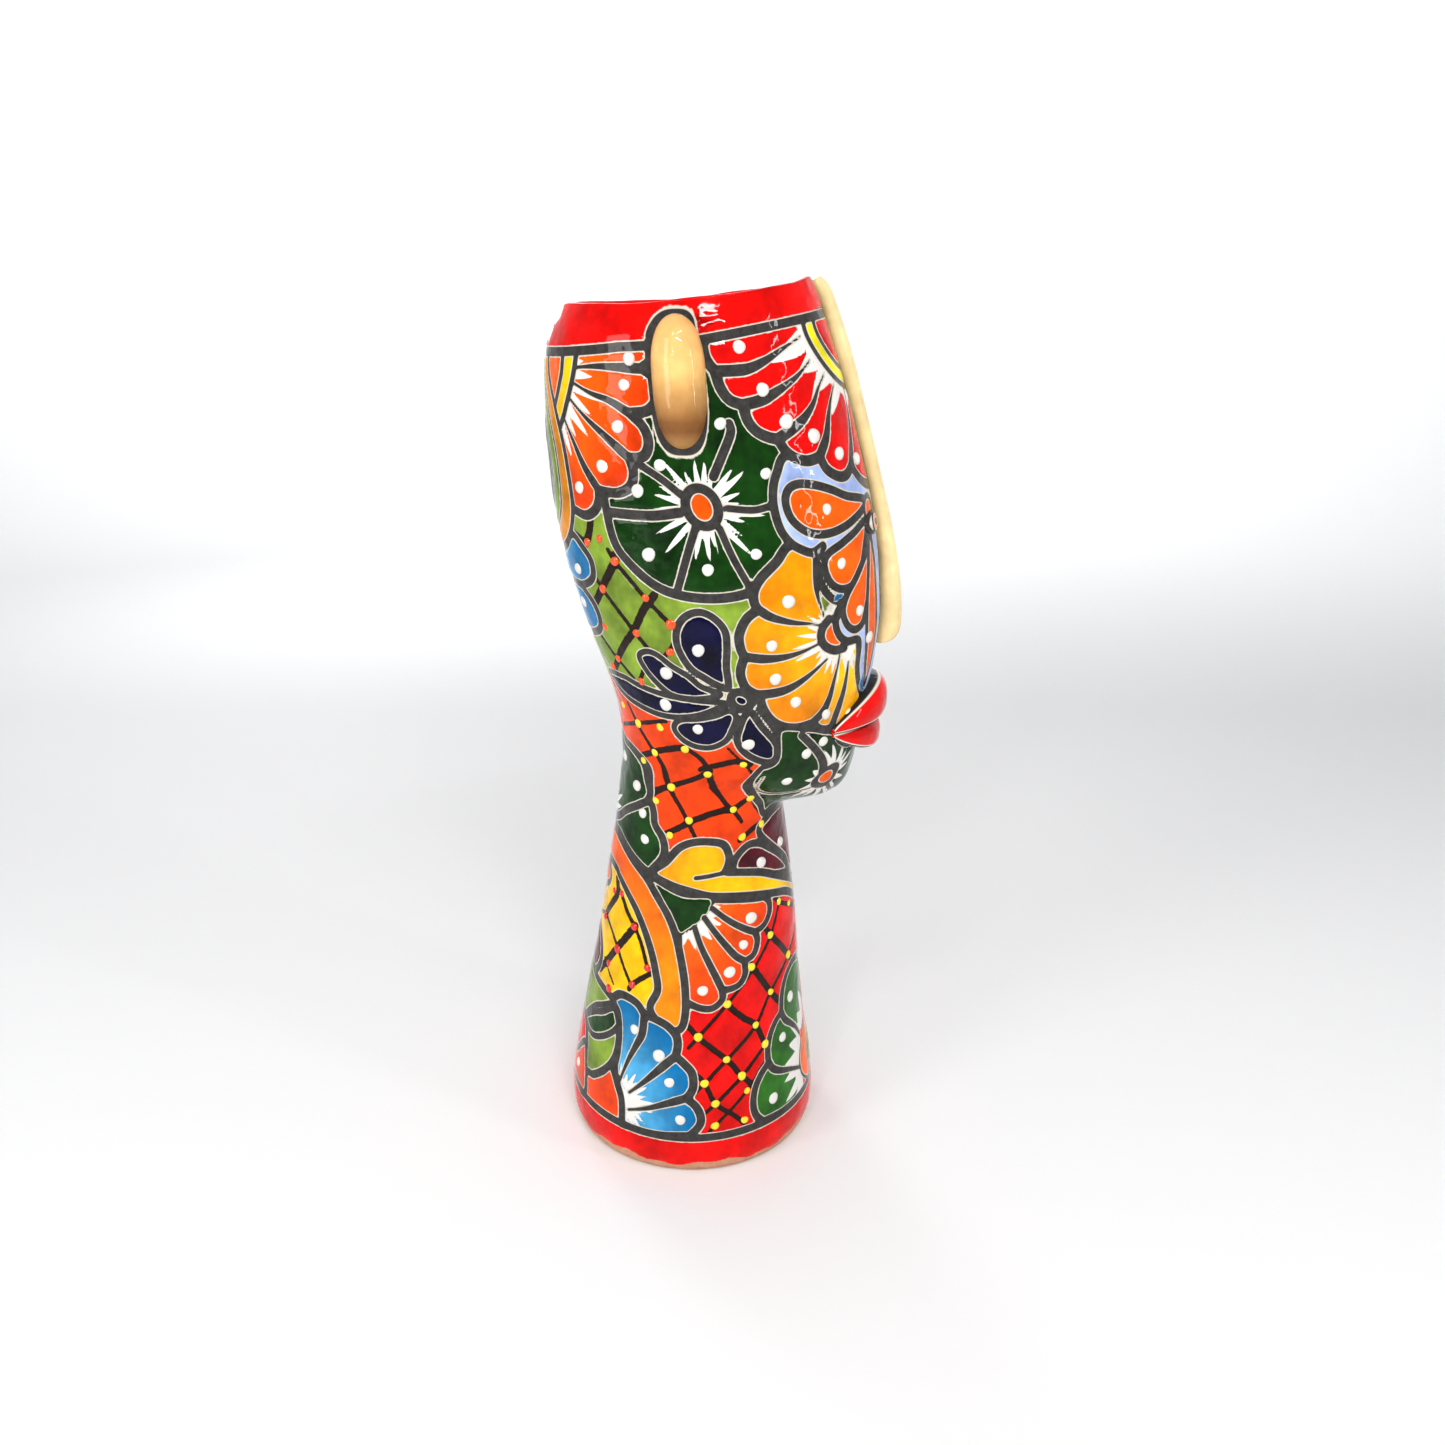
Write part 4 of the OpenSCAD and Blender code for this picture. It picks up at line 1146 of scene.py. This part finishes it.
def ear(name, node, side):
    """A pad turned about its own length: half width is a root of one minus the height's power.
    The half that is pressed into the wall is squeezed flatter."""
    t = np.linspace(0.012, 1 - 0.012, 90)
    u = -np.cos(np.pi * t)
    radius = EAR_BREADTH / 2 * np.sqrt(np.clip(1 - np.abs(u) ** 3.0, 0, 1))
    a = full_turn(72)
    x, y = radius[:, None] * np.cos(a), radius[:, None] * np.sin(a)
    y = np.where(side * y < 0, EAR_PRESSED * y, y)
    z = np.repeat((EAR_HEIGHT / 2 * u)[:, None], len(a), 1)
    lean = math.radians(-EAR_LEAN)
    side_on = math.radians(92)
    head_half = abs(on_ring(station(place_at(side_on, np.array(EAR_LEVEL))), side_on)[1])
    turned = np.stack([x * math.cos(lean) + z * math.sin(lean) - EAR_BACK,
                       y + side * (head_half - BITE + 0.5),
                       -x * math.sin(lean) + z * math.cos(lean) + EAR_LEVEL], -1)
    height = np.r_[turned[..., 2].ravel(), EAR_LEVEL, EAR_LEVEL]
    # painted shade: the lower half of the ear darkens to brown, easing off a little at the very bottom
    shade = (0.9 * np.clip((EAR_LEVEL + 4 - height) / 20, 0, 1)
             - 0.5 * np.clip((EAR_LEVEL - 20 - height) / 8, 0, 1))
    piece = loft(name, turned, tan, {"shade": shade, "ink": np.full(len(height), FAR)})
    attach(piece, "root")
    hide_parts(node)
    return piece


ear_right = ear("ear_right_glazed", "ear_right", -1)
ear_left = ear("ear_left_glazed", "ear_left", 1)


# ---------------------------------------------------------------------------------------------
# Eyes: a low almond pad on each side of the nose, white with an orange iris and a dark outline.
# ---------------------------------------------------------------------------------------------
EYE_LEVEL, EYE_TURN, EYE_BREADTH, EYE_HEIGHT, EYE_RELIEF = 351.0, 18.0, 21.0, 12.0, 2.2
IRIS_RADIUS, PUPIL_RADIUS = 4.6, 2.0
eye_paint = painted_glaze("eye glaze")


def eye(name, node, side):
    """A dome over an almond: the outline's breadth and height shrink as it rises to the middle."""
    a = full_turn(64)
    shrink = np.r_[1.0, np.cos(np.linspace(0, np.pi / 2 * 0.97, 22))]
    rise = np.r_[-BITE, EYE_RELIEF * np.sin(np.linspace(0.06, np.pi / 2 * 0.97, 22))]
    almond = np.stack([EYE_BREADTH / 2 * np.cos(a),
                       EYE_HEIGHT / 2 * np.sin(a) * np.abs(np.sin(a)) ** 0.35], -1)
    centre = math.radians(EYE_TURN)
    ends = [on_ring(station(place_at(centre + d, np.array(EYE_LEVEL))), centre + d)
            for d in (0.01, -0.01)]
    per_mm = 0.02 / np.linalg.norm(ends[0] - ends[1])
    x, y = shrink[:, None] * almond[:, 0], shrink[:, None] * almond[:, 1]
    turn = -side * (centre + x * per_mm)
    rings, _ = on_face(turn, EYE_LEVEL + y, np.repeat(rise[:, None], len(a), 1))
    middle = [0.0, 0.0]
    x, y = np.r_[x.ravel(), middle], np.r_[y.ravel(), middle]
    r = np.hypot(x + 0.5, y)
    edge = 1.6 - (1 - np.r_[np.repeat(shrink, len(a)), 1, 0]) * EYE_HEIGHT / 2
    ink = np.minimum(np.minimum(-edge, np.abs(r - IRIS_RADIUS) - 0.7), r - PUPIL_RADIUS)
    paint = np.where((r < IRIS_RADIUS)[:, None], ORANGE, GROUND)
    n = len(x)
    marks = {"ink": ink, "brush": np.full(n, FAR), "white": np.full(n, -FAR),
             "bare": np.full(n, -FAR), "drift": np.full(n, 0.1)}
    piece = loft(name, rings, eye_paint, marks, paint)
    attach(piece, "root")
    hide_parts(node)
    return piece


eye_right = eye("eye_right_glazed", "eye_right", -1)
eye_left = eye("eye_left_glazed", "eye_left", 1)


# ---------------------------------------------------------------------------------------------
# Enamel dots: drops of thick glaze squeezed on from a bulb, so they stand up as glossy beads.
# White ones sit on petals, and yellow, orange and red ones where lattice lines cross.
# ---------------------------------------------------------------------------------------------
DOTS = {
    "white": [6.6, [
        (-26, 429), (-31, 418), (-38, 400), (-50, 382), (-67, 371), (-82, 330), (-86, 312),
        (-21, 384), (-34, 372), (-34, 343), (-7, 337), (16, 344), (26, 380), (9, 402),
        (24, 434), (31, 416), (40, 402), (54, 395), (69, 386), (85, 382), (55, 362), (60, 336),
        (71, 311), (80, 295), (29, 321), (19, 300), (20, 283), (30, 270), (48, 260), (65, 256),
        (-16, 298), (-33, 285), (-35, 268), (-19, 257), (5, 249), (36, 240), (46, 245), (36, 224),
        (-66, 227), (-40, 216), (-34, 202), (-32, 188), (34, 174), (52, 179),
        (28, 145), (24, 131), (17, 117), (3, 108), (-34, 81), (-19, 70), (-13, 56), (-7, 35),
        (64, 87), (56, 68), (48, 37), (-88, 37)]],
    "yellow": [4.8, [
        (-55.5, 252.5), (-39.5, 254.5), (-69, 259), (-43.5, 239), (-26.5, 244.5), (-49, 232),
        (-11, 230.5),
        (3.5, 237), (-20, 221), (-25.5, 211.5), (16, 207.5), (-7, 203), (25, 212.5), (-17, 193.5),
        (21.5, 191.5), (34.5, 195),
        (49, 147), (61, 141), (42, 131), (30, 117), (61, 112), (17, 99), (45, 98), (2, 82), (35, 83),
        (18, 68), (42, 70), (6, 56), (27, 57), (12, 44), (30, 48), (12, 31), (29, 31)]],
    "orange": [4.8, [
        (-60, 348), (-69, 345), (-53, 338), (-64, 323), (-39, 322), (-28, 310), (-47, 303.5),
        (-68, 303), (-30, 296), (-63, 287), (-48, 278), (-70, 281)]],
    "red": [5.0, [
        (-57, 150), (-49, 151.5), (-38, 137), (-67, 131), (-28, 117), (-50, 120), (-57, 109),
        (-37, 105), (-55, 96)]]}
SHADES = {"white": glaze("e6e3dc"), "yellow": glaze("f2de28"), "orange": glaze("f4540a"),
          "red": glaze("de1c0c")}
BEAD_ROWS, BEAD_COLUMNS = 5, 14


def enamel(name, colour):
    """Thick glossy enamel: one tone that drifts very slightly, under a clear coat."""
    material, tree, shader = new_finish(name)
    toned = use_tone(tree, (*colour, 1), 0.07)
    tree.links.new(toned.outputs["Colour"], shader.inputs["Base Color"])
    shader.inputs["Roughness"].default_value = 0.18
    shader.inputs["Coat Weight"].default_value = 0.8
    shader.inputs["Coat Roughness"].default_value = 0.04
    return material


def bead(point, out, size, rng):
    """Rings of one drop: a low dome, its width a cosine and its height a sine, a little uneven."""
    side = np.cross(out, [0.0, 0.0, 1.0])
    side = side / np.linalg.norm(side)
    up = np.cross(out, side)
    stretch, lean = rng.uniform(0.94, 1.12), rng.uniform(0, np.pi)
    a = full_turn(BEAD_COLUMNS)
    lobes = 1 + 0.035 * np.cos(2 * (a - lean)) + 0.03 * np.cos(3 * a + lean)
    t = np.array([0.0, 0.5, 0.85, 1.2, 1.45])
    radius = size / 2 * np.cos(t) * stretch
    tall = size * 0.27 * np.sin(t) - 0.25
    tall[0] = -1.0
    flat = radius[:, None, None] * lobes[None, :, None] * (np.cos(a)[None, :, None] * side
                                                           + np.sin(a)[None, :, None] * up)
    return point + flat + tall[:, None, None] * out


# Every bead has the same faces: its rings, a cap round its tip and a floor under it.
here, beside = np.arange(BEAD_COLUMNS), (np.arange(BEAD_COLUMNS) + 1) % BEAD_COLUMNS
last, bead_tip = (BEAD_ROWS - 1) * BEAD_COLUMNS, BEAD_ROWS * BEAD_COLUMNS
bead_grid = ring_faces(BEAD_ROWS, BEAD_COLUMNS, False)
bead_cap = np.stack([last + here, last + beside, np.full(BEAD_COLUMNS, bead_tip)], -1)
bead_floor = np.stack([beside, here, np.full(BEAD_COLUMNS, bead_tip + 1)], -1)
rng = np.random.default_rng(11)
for shade_name, (size, spots) in DOTS.items():
    points, faces = [], []
    for girth, height in spots:
        for side in (-1, 1):
            j = int(np.clip((height - HEIGHTS[0]) / SECTION_STEP, 0, len(HEIGHTS) - 2))
            if girth < GIRTH[j, -1] + 4 or girth > GIRTH[j, 0] - 4:
                continue
            point, out = skin_at(girth, height, side)
            rings = bead(point, out, size * rng.uniform(0.9, 1.08), rng)
            start = len(points) * (bead_tip + 2)
            tip = rings[-1].mean(0) + out * 0.04
            points.append(np.vstack([rings.reshape(-1, 3), tip, rings[0].mean(0)]))
            for part in (bead_grid, bead_cap, bead_floor):
                faces += (part + start).tolist()
    dots = build(f"enamel_dots_{shade_name}", np.vstack(points), faces,
                 enamel(f"{shade_name} enamel", SHADES[shade_name]))
    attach(dots, "root")
